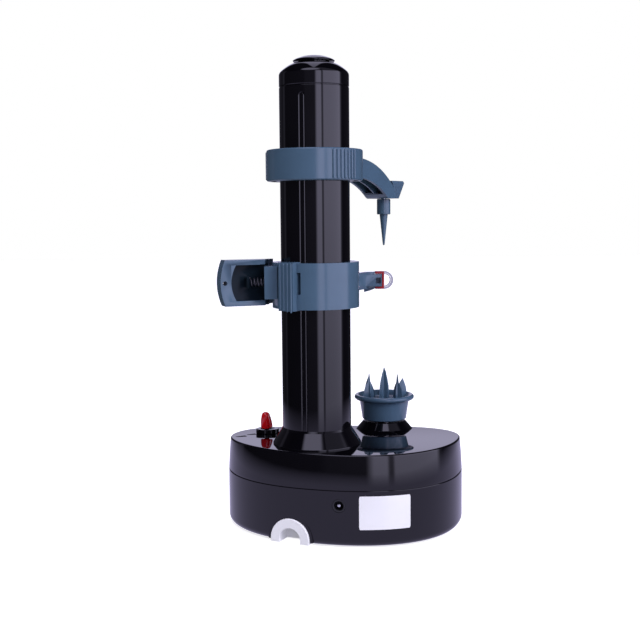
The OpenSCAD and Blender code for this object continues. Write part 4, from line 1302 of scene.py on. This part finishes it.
    def collar(self) -> None:
        """Builds the flared collar under the food holder."""
        cone = lathe("holder_collar", rounded(self.collar_corners), self.base.layout.food,
                     closed=True)
        piece = self.base.cut_to_cover(cone)
        dress(shade(piece, TURNED_ANGLE), BLACK, "housing", "black", "spindle_collar")

    def build(self) -> None:
        """Builds every piece of the tower."""
        for make in (self.column, self.cap, self.disc, self.screw, self.collar):
            make()


@dataclass(frozen=True)
class Spike:
    """One kind of spike on the food holder, made of four crossed blades.

    The fins are the reach of the blades at the foot and the waist is the
    radius between them. The taper gives shares of both at shares of the
    height, and the tip is how far the point is shifted along the first blade.
    """

    height: float
    fins: tuple[float, float, float, float]
    waist: float
    taper: Profile
    tip: float = 0.0

    def make(self, turn: float, centre: Point, foot: float, root: float) -> bpy.types.Object:
        """Builds one spike that narrows to a point.

        Args:
            turn: direction of the first blade.
            centre: place of the spike.
            foot: height that it stands on.
            root: how far it reaches under that height.

        Returns:
            The new object.
        """
        lean = polar(self.tip, turn)
        rings: list[list[Point3]] = [[(*centre, foot - root)]]
        for at, share in self.taper:
            z = foot - root + (self.height + root) * at
            ring = []
            for k in range(8):
                reach = (self.waist if k % 2 else self.fins[k // 2]) * share
                x, y = polar(reach, turn + 45 * k)
                ring.append((centre[0] + x + lean[0] * at, centre[1] + y + lean[1] * at, z))
            rings.append(ring)
        rings.append([(centre[0] + lean[0], centre[1] + lean[1], foot + self.height)])
        return loft("spike", rings)


@dataclass
class FoodHolder:
    """The turning cup with its rolled rim, its middle spike and two rings of spikes."""

    layout: Layout
    dish: float = 69.55
    root: float = 0.2
    turn: float = 20.0
    rim_radius: float = 19.2
    rim_z: float = 71.35
    roll: float = 1.65
    outside: Profile = ((4.0, 57.0), (13.6, 57.0), (14.15, 57.5), (14.5, 60.0), (15.0, 63.5),
                        (15.6, 67.5), (15.95, 69.2))
    inside: Profile = ((15.1, 71.6), (14.0, 70.5), (12.6, 69.75), (11.0, 69.55), (4.0, 69.55))
    boss_radius: float = 4.02
    boss_ends: Point = (63.9, 69.5)
    middle: Spike = Spike(21.1, (4.0, 3.4, 4.0, 3.4), 1.7,
                          ((0.0, 1.0), (0.22, 1.0), (0.42, 0.92), (0.62, 0.70), (0.8, 0.40),
                           (0.92, 0.17), (1.0, 0.03)))
    middle_turn: float = 15.0
    tall: Spike = Spike(17.7, (4.2, 1.9, 3.4, 1.9), 1.1,
                        ((0.0, 1.0), (0.28, 0.93), (0.48, 0.72), (0.58, 0.50), (0.66, 0.28),
                         (0.85, 0.15), (1.0, 0.03)))
    tall_out: float = 10.5
    short: Spike = Spike(12.9, (4.2, 0.9, 4.4, 0.9), 0.85,
                         ((0.0, 1.0), (0.38, 0.92), (0.62, 0.66), (0.85, 0.30), (1.0, 0.03)), 1.7)
    short_out: float = 11.4

    def spike(self, kind: Spike, turn: float, out: float = 0.0) -> bpy.types.Object:
        """Stands one spike on the dish.

        Args:
            kind: the kind of spike.
            turn: its direction, also that of its first blade.
            out: its distance from the food axis.

        Returns:
            The new object.
        """
        centre, = arc(self.layout.food, out, [turn])
        return kind.make(turn, centre, self.dish, self.root)

    def build(self) -> None:
        """Builds the cup and its spikes as one moulded piece."""
        start, sweep, steps = -110, 250, 14
        rim = arc((self.rim_radius - self.roll, self.rim_z), self.roll,
                  (start + sweep * k / steps for k in range(steps + 1)))
        cup = lathe("spiked_holder", [*self.outside, *rim, *self.inside], self.layout.food,
                    closed=True)
        boss = rod("boss", self.boss_radius, *self.boss_ends, self.layout.food)
        parts = [cup, boss, self.spike(self.middle, self.turn + self.middle_turn)]
        for k in range(3):
            turn = self.turn + 120 * k
            parts.append(self.spike(self.tall, turn + 60, self.tall_out))
            parts.append(self.spike(self.short, turn, self.short_out))
        piece = fold_in(parts, "spiked_holder")
        dress(shade(piece, TURNED_ANGLE), SLATE, "spindle", "slate", "food_holder")


@dataclass
class HolderArm:
    """The upper arm: gripped ring, channel arm with end pad and tab, and its spike.

    The arm is drawn in its own frame, with X from the column axis to the food axis.
    """

    layout: Layout
    low: float = 208.2
    high: float = 226.2
    radius: float = 28.0
    bore: float = 20.38
    hollow_in: float = 22.9
    hollow_out: float = 25.5
    hollow_high: float = 223.6
    width: float = 17.0
    side: float = 2.0
    reach: float = 72.5
    crown: Point = (31.0, 165.8)
    crown_radius: float = 57.0
    roof_radius: float = 54.8
    belly: Point = (33.0, 161.0)
    belly_radius: float = 49.6
    rib_radius: float = 49.7
    rib_half: float = 0.5
    rib_heel: Point = (64.5, 201.3)
    pad: Profile = ((69.4, 209.8), (82.7, 209.8), (83.7, 208.2), (77.4, 198.7), (65.8, 198.7))
    channel_end: Profile = ((71.0, 205.0), (71.0, 201.2), (29.0, 201.2))
    arm_edge: float = 0.55
    bore_cut: Point = (190.0, 240.0)
    key_in: float = 18.3
    key_half: float = 4.85
    key_short: float = 0.1
    pin_radius: float = 1.55
    pin_cut: Point = (190.0, 204.0)
    grip_turn: float = 105.0
    grip_count: int = 7
    grip_step: float = 5.2
    grip_ends: Profile = ((0, 0.7), (0.5, 0.8), (0.85, 1.3))
    stud_pitch: float = 1.6
    stud_half: float = 0.72
    stud_proud: float = 0.45
    stud_sink: float = 0.1
    stud_rows: Point = (199.7, 208.6)
    tab_foot: float = 72.4
    tab_foot_slope: Point = (204.4, 0.2)
    tab_end: Point = (76.6, 198.7)
    tab_slope: float = 0.663
    spike_profile: Profile = (
        (0, 169.1), (0.35, 169.2), (0.62, 169.8), (2.6, 188.7), (3.9, 188.7), (4.3, 189.1),
        (4.3, 198.1), (3.9, 198.5), (1.55, 198.5), (1.55, 192.6), (0, 192.6))

    def _upright(self, name: str, outline: Sequence[Point], half: float) -> bpy.types.Object:
        """Makes a plate from a side view, of a half thickness."""
        return place(prism(name, outline, -half, half), STAND_ALONG_X)

    def arm(self) -> None:
        """Builds ring and arm as one moulded piece."""
        corners = ((self.bore, self.low, 0.3), (self.hollow_in, self.low, 0.3),
                   (self.hollow_in, self.hollow_high, 0), (self.hollow_out, self.hollow_high, 0),
                   (self.hollow_out, self.low, 0.3), (self.radius, self.low, 0.9),
                   (self.radius, self.high, 0.9), (self.bore, self.high, 0.5))
        ring = lathe("upper_arm", rounded(corners), count=128, closed=True)
        outline = [*arch(self.crown, self.crown_radius, range(-8, 49, 3)), *self.pad,
                   *arch(self.belly, self.belly_radius, range(39, -13, -3))]
        body = self._upright("arm_body", outline, self.width / 2)
        roof = arch(self.crown, self.roof_radius, range(-2, 47, 3))
        combine(body, self._upright("hollow", [*roof, *self.channel_end],
                                    self.width / 2 - self.side))
        rib_line = [*arch(self.crown, self.roof_radius, range(-2, 41, 3)), self.rib_heel,
                    *arch(self.belly, self.rib_radius, range(39, -3, -3))]
        rib = self._upright("rib", rib_line, self.rib_half)
        combine(ring, bevel(body, self.arm_edge, 3, 32), Join.ADD)
        combine(ring, rib, Join.ADD)
        combine(ring, rod("bore_cut", self.bore, *self.bore_cut, count=128))
        key = slab("key", (self.key_in, -self.key_half, self.low + self.key_short),
                   (self.bore + 1, self.key_half, self.high - self.key_short))
        combine(ring, key, Join.ADD)
        combine(ring, rod("pin_hole", self.pin_radius, *self.pin_cut, (self.reach, 0), 32))
        place(ring, self.layout.to_food())
        dress(shade(ring, 32), SLATE, "holder_arm", "slate", "upper_arm")

    def ribs(self) -> None:
        """Builds the two groups of upright grip ribs on the ring."""
        profile = [(out, self.low + up) for out, up in self.grip_ends]
        profile += [(out, self.high - up) for out, up in reversed(self.grip_ends)]
        half_span = (self.grip_count - 1) / 2 * self.grip_step
        for name, turn in (("grip_ribs_near", -self.grip_turn), ("grip_ribs_far", self.grip_turn)):
            rib = lathe(name, profile, (self.radius, 0), 12)
            start = self.layout.food_turn + turn - half_span
            NodeArray.on_arc(rib, self.grip_count, start, self.grip_step, self.layout.column, SLATE)
            dress(shade(rib), SLATE, "holder_arm", "slate")

    def _stud_sites(self, face: float) -> list[Point3]:
        """Returns the places of the studs on one face of the finger tab.

        Args:
            face: where the face lies across the arm.

        Returns:
            The places, in rows that are staggered by half a pitch.
        """
        (low, high), pitch, turn = self.stud_rows, self.stud_pitch, self.layout.to_food()
        (foot_z, foot_slope), (end_x, end_z) = self.tab_foot_slope, self.tab_end
        places = []
        for row in range(int((high - low) / (pitch / 2)) + 1):
            z = low + row * pitch / 2
            start = self.tab_foot + max(0.0, foot_z - z) * foot_slope
            start += pitch / 2 if row % 2 else 0
            end = end_x + (z - end_z) * self.tab_slope
            places += [tuple(turn @ Vector((start + k * pitch, face, z)))
                       for k in range(int((end - start) / pitch) + 1)]
        return places

    def _stud(self, side: int) -> bpy.types.Object:
        """Makes one pointed stud for one side of the finger tab.

        Args:
            side: -1 for the near side, 1 for the far side.

        Returns:
            The new object, round the origin.
        """
        half, turn = self.stud_half, self.layout.to_food().to_3x3()
        corners = [(-half, 0, 0), (0, 0, -half), (half, 0, 0), (0, 0, half)]
        back = [(x, -side * self.stud_sink, z) for x, _, z in corners]
        verts = [tuple(turn @ Vector(p)) for p in back + corners + [(0, side * self.stud_proud, 0)]]
        faces = [[0, 1, 2, 3]] + [[k, (k + 1) % 4, 4 + (k + 1) % 4, 4 + k] for k in range(4)]
        faces += [[4 + k, 4 + (k + 1) % 4, 8] for k in range(4)]
        return from_lists("stud", verts, faces)

    def studs(self) -> None:
        """Builds the crossed grip texture on both sides of the finger tab."""
        for name, side in (("tab_studs_near", -1), ("tab_studs_far", 1)):
            sites = self._stud_sites(side * self.width / 2)
            piece = NodeArray.at_points(name, sites, self._stud(side), SLATE)
            dress(shade(piece, 20), SLATE, "holder_arm", "slate")

    def spike(self) -> None:
        """Builds the spinning spike: a round boss and a slim cone."""
        piece = lathe("top_spike", self.spike_profile, self.layout.food, 48)
        dress(shade(piece, TURNED_ANGLE), SLATE, "top_spike", "slate", "upper_spike")

    def build(self) -> None:
        """Builds every piece of the upper arm."""
        for make in (self.arm, self.ribs, self.studs, self.spike):
            make()


@dataclass
class Carriage:
    """The carriage ring, the release lever and the springs.

    The finger pocket, whose faces get painted shade, is measured in the
    wing's frame: X along the wing, Y towards the viewer and Z up.
    """

    layout: Layout
    ring_edge: float = 0.45
    rib_count: int = 4
    rib_span: float = 10.4
    rib_out: float = 28.5
    rib_step: float = 0.5
    rib_foot: Profile = ((0, 134.9), (0.45, 135.2), (0.62, 135.8))
    rib_head: Profile = ((0.62, 160.9), (0.45, 161.5), (0, 161.9))
    lever_edge: float = 0.5
    wing_root: Point3 = (-29.0, 5.0, 136.4)
    wing_turn: float = 200.0
    wing_front: float = 8.97
    pocket_low: Point3 = (-4.0, 2.0, 3.0)
    pocket_high: Point3 = (24.1, 9.2, 23.8)
    pocket_slack: float = 0.15
    pocket_lap: float = 0.5
    pocket_sink: float = 0.1
    pocket_bow: float = 3.2
    # Painted shade: shares of colour and gloss left in the finger pocket and on its bowed edge.
    pocket_painted_shade: float = 0.16
    bow_painted_shade: float = 0.3
    rim_area: float = 30.0
    rim_near: float = 0.5
    release_seat: Point3 = (-29.4, -4.0, 150.0)
    release_length: float = 9.2
    torsion_seat: Point3 = (22.5, 19.5, 150.9)
    torsion_length: float = 3.4
    coil_radius: float = 2.4

    def ring(self) -> None:
        """Softens the carriage ring's edges."""
        piece = softened_copy("carriage_ring", "carriage_body", self.ring_edge, 3)
        dress(piece, SLATE, "carriage", "slate", "carriage_ring")

    def ribs(self) -> None:
        """Builds the upright ribs of the thumb rest, each a step lower than the last."""
        out = []
        for k in range(self.rib_count):
            profile = [*raised(self.rib_foot, -self.rib_step * k), *self.rib_head]
            across = self.rib_span * (k + 0.5) / self.rib_count - self.rib_span / 2
            out.append(lathe("rib", profile, (self.rib_out, across), 12))
        piece = place(fold_in(out, "thumb_ribs"), self.layout.to_food() @ turned(180))
        dress(shade(piece), SLATE, "carriage", "slate")

    def wing_frame(self) -> Matrix:
        """Returns the frame of the wing."""
        return self.layout.at_column() @ moved(*self.wing_root) @ turned(self.wing_turn)

    def lever(self) -> None:
        """Softens the release lever's edges and paints shade into its finger pocket."""
        piece = softened_copy("release_lever", "squeeze_lever", self.lever_edge, 3)
        to_wing = self.wing_frame().inverted()
        # Faces inside the finger pocket get painted shade; the big rim faces at its front keep full
        # colour.
        marks = piece.data.attributes.new(SLATE_PAINTED_SHADE.shade_by, "FLOAT", "FACE")
        for face in piece.data.polygons:
            at = to_wing @ (face.center / MM)
            inside = all(low - self.pocket_slack < c < high + self.pocket_slack
                         for low, c, high in zip(self.pocket_low, at, self.pocket_high))
            big = face.area / MM ** 2 > self.rim_area
            rim = big and at.y > self.wing_front - self.rim_near
            marks.data[face.index].value = self.pocket_painted_shade if inside and not rim else 1.0
        dress(piece, SLATE_PAINTED_SHADE, "lever", "slate", "release_lever")

    def pocket_edge(self) -> None:
        """Fills the far corners of the finger pocket to its bowed edge, with painted shade on its
        bowed faces.
        """
        steps, (_, back, low), (end, _, high) = 24, self.pocket_low, self.pocket_high
        low, high, middle = low - self.pocket_lap, high + self.pocket_lap, (low + high) / 2
        heights = [low + (high - low) * k / steps for k in range(steps + 1)]
        bow = self.pocket_bow / ((high - low) / 2) ** 2
        outline = [(end - bow * (z - middle) ** 2, z) for z in heights]
        outline += [(end + self.pocket_lap, high), (end + self.pocket_lap, low)]
        piece = prism("pocket_edge", outline, -self.wing_front, -back + self.pocket_sink)
        # The front and back faces keep full colour; the bowed and end faces get painted shade.
        marks = piece.data.attributes.new(SLATE_PAINTED_SHADE.shade_by, "FLOAT", "FACE")
        for face in piece.data.polygons:
            flat = abs(face.normal.z) > 0.5
            marks.data[face.index].value = 1.0 if flat else self.bow_painted_shade
        place(piece, self.wing_frame() @ turned(90, "X"))
        dress(shade(piece, SHELL_ANGLE), SLATE_PAINTED_SHADE, "lever", "slate")

    def coil(self, name: str, wire: float, turns: int, length: float) -> bpy.types.Object:
        """Winds one open coil along Z whose ends run straight.

        Args:
            name: name of the piece.
            wire: thickness of the wire.
            turns: number of turns.
            length: length over both ends.

        Returns:
            The new object.
        """
        radius, steps, sides = self.coil_radius, 28, 10
        count = turns * steps
        spine = [Vector((radius, 0, 0))]
        for k in range(count + 1):
            z = wire + (length - 2 * wire) * k / count
            spine.append(Vector((*polar(radius, 360 * k / steps), z)))
        spine.append(Vector((radius, 0, length)))
        last = len(spine) - 1
        rings: list[list[Point3]] = []
        for i, at in enumerate(spine):
            run = (spine[min(last, i + 1)] - spine[max(0, i - 1)]).normalized()
            if i in (0, last):
                run = Vector((0, 0, 1))
            side = run.cross(Vector((at.x, at.y, 0)).normalized()).normalized()
            up = side.cross(run)
            angles = (TAU * j / sides for j in range(sides))
            rings.append([tuple(at + (up * math.cos(a) + side * math.sin(a)) * (wire / 2))
                          for a in angles])
        return loft(name, [[tuple(spine[0])]] + rings + [[tuple(spine[-1])]])

    def springs(self) -> None:
        """Builds the release spring beside the thumb rest and the arm's torsion spring."""
        at, seat = self.layout.at_column(), Vector(self.release_seat)
        release = self.coil("release_coil", 0.7, 4, self.release_length)
        place(release, at @ moved(*seat) @ turned(-90, "Y"))
        far = seat - Vector((self.release_length, 0, 0))
        dress_between(shade(release, COIL_ANGLE), SPRING_STEEL, ("carriage", "lever"),
                      (tuple(at @ seat), tuple(at @ far)), "steel", "release_spring")
        torsion = self.coil("arm_coil", 0.5, 2, self.torsion_length)
        place(torsion, at @ moved(*self.torsion_seat))
        dress(shade(torsion, COIL_ANGLE), STEEL, "carriage", "steel", "arm_spring")

    def build(self) -> None:
        """Builds every piece of the carriage."""
        for make in (self.ring, self.ribs, self.lever, self.pocket_edge, self.springs):
            make()


@dataclass
class BladeHead:
    """The swinging blade arm with its red clip, clear guard and blade."""

    arm_edge: float = 0.25
    clip_edge: float = 0.3
    guard_edge: float = 0.15
    blade_edge: float = 0.1

    def build(self) -> None:
        """Softens the edges of every piece of the blade head."""
        for node, name, edge, segments, finish, slot in (
                ("peeling_arm", "blade_arm_bar", self.arm_edge, 2, SLATE, "slate"),
                ("blade_holder", "blade_clip", self.clip_edge, 3, RED_CLIP, "red"),
                ("blade_guard", "clear_guard", self.guard_edge, 2, CLEAR, "clear"),
                ("blade", "peel_blade", self.blade_edge, 2, BLADE_STEEL, "blade_steel")):
            dress(softened_copy(node, name, edge, segments), finish, "blade_arm", slot, node)


@dataclass
class Controls:
    """The switch with its collar and red lever, and the pull-out knife's ring."""

    base: BaseShells
    pivot: float = 50.5
    lean: float = 13.0
    swing: float = 72.7
    stem: Profile = ((0, -1), (1.5, -1), (1.5, 6.2), (3.4, 6.2), (3.68, 6.5), (3.7, 7.4),
                     (3.5, 9.6), (3.15, 11.8), (2.75, 13.5))
    end_radius: float = 2.7
    end_z: float = 13.5
    collar_edge: float = 0.4
    grip_edge: float = 0.45
    dashes: Corners = ((-64.0, -3.5, 6.5), (-58.0, 4.5, 5.5))
    dash_half: float = 1.3
    dash_deep: float = 0.1
    dash_high: float = 0.2
    dash_turn: float = 30.0

    def marks(self) -> None:
        """Builds the two plain dashes printed beside the switch."""
        dashes = []
        for x, y, length in self.dashes:
            z = self.base.cover_z(y) - self.dash_deep
            dash = slab("dash", (-length / 2, -self.dash_half, z),
                        (length / 2, self.dash_half, z + self.dash_high))
            dashes.append(place(dash, moved(x, y) @ turned(self.dash_turn)))
        dress(shade(fold_in(dashes, "switch_marks")), MARK, "housing", "black")

    def lever(self) -> None:
        """Builds the red lever: a slim stem and a tapered cap with a round end."""
        end = arc((0.0, self.end_z), self.end_radius, range(15, 90, 15))
        profile = [*self.stem, *end, (0, self.end_z + self.end_radius)]
        tilt = turned(self.swing) @ turned(-self.lean, "Y")
        piece = lathe("switch_cap", profile, count=48)
        place(piece, moved(*self.base.layout.switch, self.pivot) @ tilt)
        dress(shade(piece, TURNED_ANGLE), RED, "toggle", "red", "switch_lever")

    def build(self) -> None:
        """Builds every piece of the controls."""
        self.marks()
        self.lever()
        dress(softened_copy("switch_collar", "switch_ring", self.collar_edge, 3),
              BLACK, "housing", "black", "switch_collar")
        dress(softened_copy("knife_grip", "ring_grip", self.grip_edge, 3),
              WHITE, "thumb_knife", "white", "knife_grip")


# ------------------------------------------------------------------ the studio
@dataclass(frozen=True)
class Lamp:
    """One soft square lamp that glossy surfaces don't show."""

    name: str
    at: Point3
    to: Point3
    size: float
    watts: float

    def hang(self) -> None:
        """Hangs the lamp and points it."""
        data = bpy.data.lights.new(self.name, "AREA")
        data.size = self.size * MM
        data.energy = self.watts
        lamp = add_object(self.name, data)
        aim = (Vector(self.to) - Vector(self.at)).to_track_quat("-Z", "Y").to_matrix().to_4x4()
        lamp.matrix_world = Matrix.Translation(Vector(self.at) * MM) @ aim
        lamp.visible_glossy = False


@dataclass(frozen=True)
class Studio:
    """The camera, the floor and the light.

    A panel is a direction round the object in degrees and its brightness. A
    band is two limits and the levels at them.
    """

    eye: Point3 = (-14.7, -649.6, 188.2)
    pitch: float = 5.6
    roll: float = -0.5
    focal_px: float = 1062.9
    photo_px: int = 640
    sensor: float = 36.0
    clip: Point = (0.01, 30.0)
    floor_half: float = 4000.0
    floor_z: float = -0.05
    floor_colour: Point3 = (0.92, 0.92, 0.93)
    floor_rough: float = 0.6
    floor_glow: float = 0.72
    floor_seen: Point = (290.0, 460.0)
    floor_tint: Point3 = (0.60, 0.56, 0.86)
    bounce: float = 0.42
    bounce_tint: Point3 = (0.88, 0.89, 0.95)
    tint: Point3 = (0.76, 0.73, 1.0)
    gain: float = 1.28
    brightest: float = 2.4
    panels: Profile = (
        (-180, 0.05), (-124, 0.05), (-120, 0.14), (-113, 0.14), (-110, 0.03), (-80, 0.05),
        (-33, 0.06), (-28, 0.12), (2, 0.14), (9, 2.3), (22, 2.4), (24.5, 0.5), (28, 0.5),
        (31, 2.1), (90, 2.2), (97, 0.25), (103, 0.03), (180, 0.03))
    panel_foot: Band = (-0.28, 0.10, 0.50, 1.0)
    panel_top: Band = (0.35, 0.62, 1.0, 0.12)
    behind: Point = (164, 170)
    behind_rise: Band = (-0.1, 0.3, 0.15, 0.42)
    overhead: Point3 = (-0.15, -0.45, 0.88)
    overhead_edge: Band = (0.90, 0.95, 0.0, 0.85)
    lamps: tuple[Lamp, ...] = (Lamp("key", (900, -900, 900), (0, 0, 140), 600, 11.0),
                               Lamp("fill", (-900, -700, 700), (0, 0, 120), 700, 4.0))

    def camera(self) -> None:
        """Stands the camera where the photograph was taken."""
        data = bpy.data.cameras.new("camera")
        data.sensor_width = self.sensor
        data.lens = self.focal_px * self.sensor / self.photo_px
        data.clip_start, data.clip_end = self.clip
        cam = add_object("camera", data)
        turn = turned(90 - self.pitch, "X") @ turned(self.roll)
        cam.matrix_world = Matrix.Translation(Vector(self.eye) * MM) @ turn
        bpy.context.scene.camera = cam

    def _floor_material(self) -> bpy.types.Material:
        """Makes the floor's material.

        Returns:
            A pale glow for the camera, a dim one for soft light, and a tint
            that glossy surfaces see only close by.
        """
        mat = bpy.data.materials.new("floor_white")
        mat.use_nodes = True
        tree = mat.node_tree
        shader = tree.nodes["Principled BSDF"]
        set_inputs(tree, shader, {
            "Base Color": (*self.floor_colour, 1), "Roughness": self.floor_rough,
            "Specular IOR Level": 0.0, "Emission Color": (1, 1, 1, 1),
            "Emission Strength": self.floor_glow})
        place_at = add_node(tree, "ShaderNodeTexCoord").outputs["Object"]
        distance = add_node(tree, "ShaderNodeVectorMath", {0: place_at}, operation="LENGTH")
        start, end = (radius * MM for radius in self.floor_seen)
        edge = spread_over(tree, distance.outputs["Value"], (start, end, 0.0, 1.0))
        near = add_node(tree, "ShaderNodeEmission", {"Color": (*self.floor_tint, 1)})
        clear = add_node(tree, "ShaderNodeBsdfTransparent")
        seen = add_node(tree, "ShaderNodeMixShader", {
            "Fac": edge, 1: near.outputs["Emission"], 2: clear.outputs["BSDF"]})
        dim = add_node(tree, "ShaderNodeEmission", {"Color": (*self.bounce_tint, 1),
                                                    "Strength": self.bounce})
        path = add_node(tree, "ShaderNodeLightPath")
        soft = add_node(tree, "ShaderNodeMixShader", {
            "Fac": path.outputs["Is Diffuse Ray"], 1: shader.outputs["BSDF"],
            2: dim.outputs["Emission"]})
        pick = add_node(tree, "ShaderNodeMixShader", {
            "Fac": path.outputs["Is Glossy Ray"], 1: soft.outputs["Shader"],
            2: seen.outputs["Shader"]})
        set_inputs(tree, tree.nodes["Material Output"], {"Surface": pick.outputs["Shader"]})
        return mat

    def floor(self) -> None:
        """Lays the plain pale floor."""
        half, low = self.floor_half, self.floor_z
        corners = [(-half, -half, low), (half, -half, low), (half, half, low), (-half, half, low)]
        floor = from_lists("floor", corners, [[0, 1, 2, 3]])
        floor.data.materials.append(self._floor_material())

    def _panel_light(self, tree: bpy.types.NodeTree) -> bpy.types.NodeSocket:
        """Works out how bright the dark studio is in each direction.

        Args:
            tree: the world's tree.

        Returns:
            The socket of the brightness, as a share of the brightest.
        """
        def smooth(source: bpy.types.NodeSocket, band: Band) -> bpy.types.NodeSocket:
            """Maps a value over a band with soft ends."""
            return spread_over(tree, source, band, "SMOOTHSTEP")

        ray = add_node(tree, "ShaderNodeTexCoord").outputs["Generated"]
        x, y, z = add_node(tree, "ShaderNodeSeparateXYZ", {"Vector": ray}).outputs
        azimuth = maths(tree, "ARCTAN2", x, maths(tree, "MULTIPLY", y, -1.0))
        ramp = add_node(tree, "ShaderNodeValToRGB",
                        {"Fac": maths(tree, "MULTIPLY_ADD", azimuth, 1 / TAU, 0.5)})
        fill_ramp(ramp.color_ramp, [((degrees + 180) / 360, [value / self.brightest] * 3)
                                    for degrees, value in self.panels])
        around = maths(tree, "MULTIPLY", ramp.outputs["Color"], smooth(z, self.panel_foot))
        around = maths(tree, "MULTIPLY", around, smooth(z, self.panel_top))
        start, end = (math.radians(degrees) for degrees in self.behind)
        behind = smooth(maths(tree, "ABSOLUTE", azimuth), (start, end, 0.0, 1.0))
        behind = maths(tree, "MULTIPLY", behind, smooth(z, self.behind_rise))
        toward = add_node(tree, "ShaderNodeVectorMath",
                          {0: ray, 1: Vector(self.overhead).normalized()}, operation="DOT_PRODUCT")
        above = smooth(toward.outputs["Value"], self.overhead_edge)
        return maths(tree, "MAXIMUM", maths(tree, "MAXIMUM", around, behind), above)

    def sky(self) -> None:
        """Makes the world: white behind, and in what it lights a dark studio with soft panels."""
        world = bpy.data.worlds.new("studio")
        bpy.context.scene.world = world
        world.use_nodes = True
        tree = world.node_tree
        tree.nodes.clear()
        tint = add_node(tree, "ShaderNodeMix", {"Factor": self._panel_light(tree), 6: (0, 0, 0, 1),
                                                7: (*self.tint, 1)}, data_type="RGBA")
        studio = add_node(tree, "ShaderNodeBackground", {"Color": tint.outputs[2],
                                                         "Strength": self.brightest * self.gain})
        white = add_node(tree, "ShaderNodeBackground", {"Color": (1, 1, 1, 1)})
        camera = add_node(tree, "ShaderNodeLightPath").outputs["Is Camera Ray"]
        pick = add_node(tree, "ShaderNodeMixShader", {
            "Fac": camera, 1: studio.outputs["Background"], 2: white.outputs["Background"]})
        add_node(tree, "ShaderNodeOutputWorld", {"Surface": pick.outputs["Shader"]})

    def build(self) -> None:
        """Sets up camera, floor, sky and lamps."""
        self.camera()
        self.floor()
        self.sky()
        for lamp in self.lamps:
            lamp.hang()
        bpy.context.scene.view_settings.view_transform = "Standard"


def main() -> None:
    """Builds the whole scene in order."""
    logging.basicConfig(level=logging.INFO, format="%(name)s: %(message)s")
    Studio().build()
    layout = Layout()
    base = BaseShells(layout)
    dress_nodes()
    base.build()
    Tower(base).build()
    FoodHolder(layout).build()
    HolderArm(layout).build()
    Carriage(layout).build()
    BladeHead().build()
    Controls(base).build()


if __name__ == "__main__":
    main()
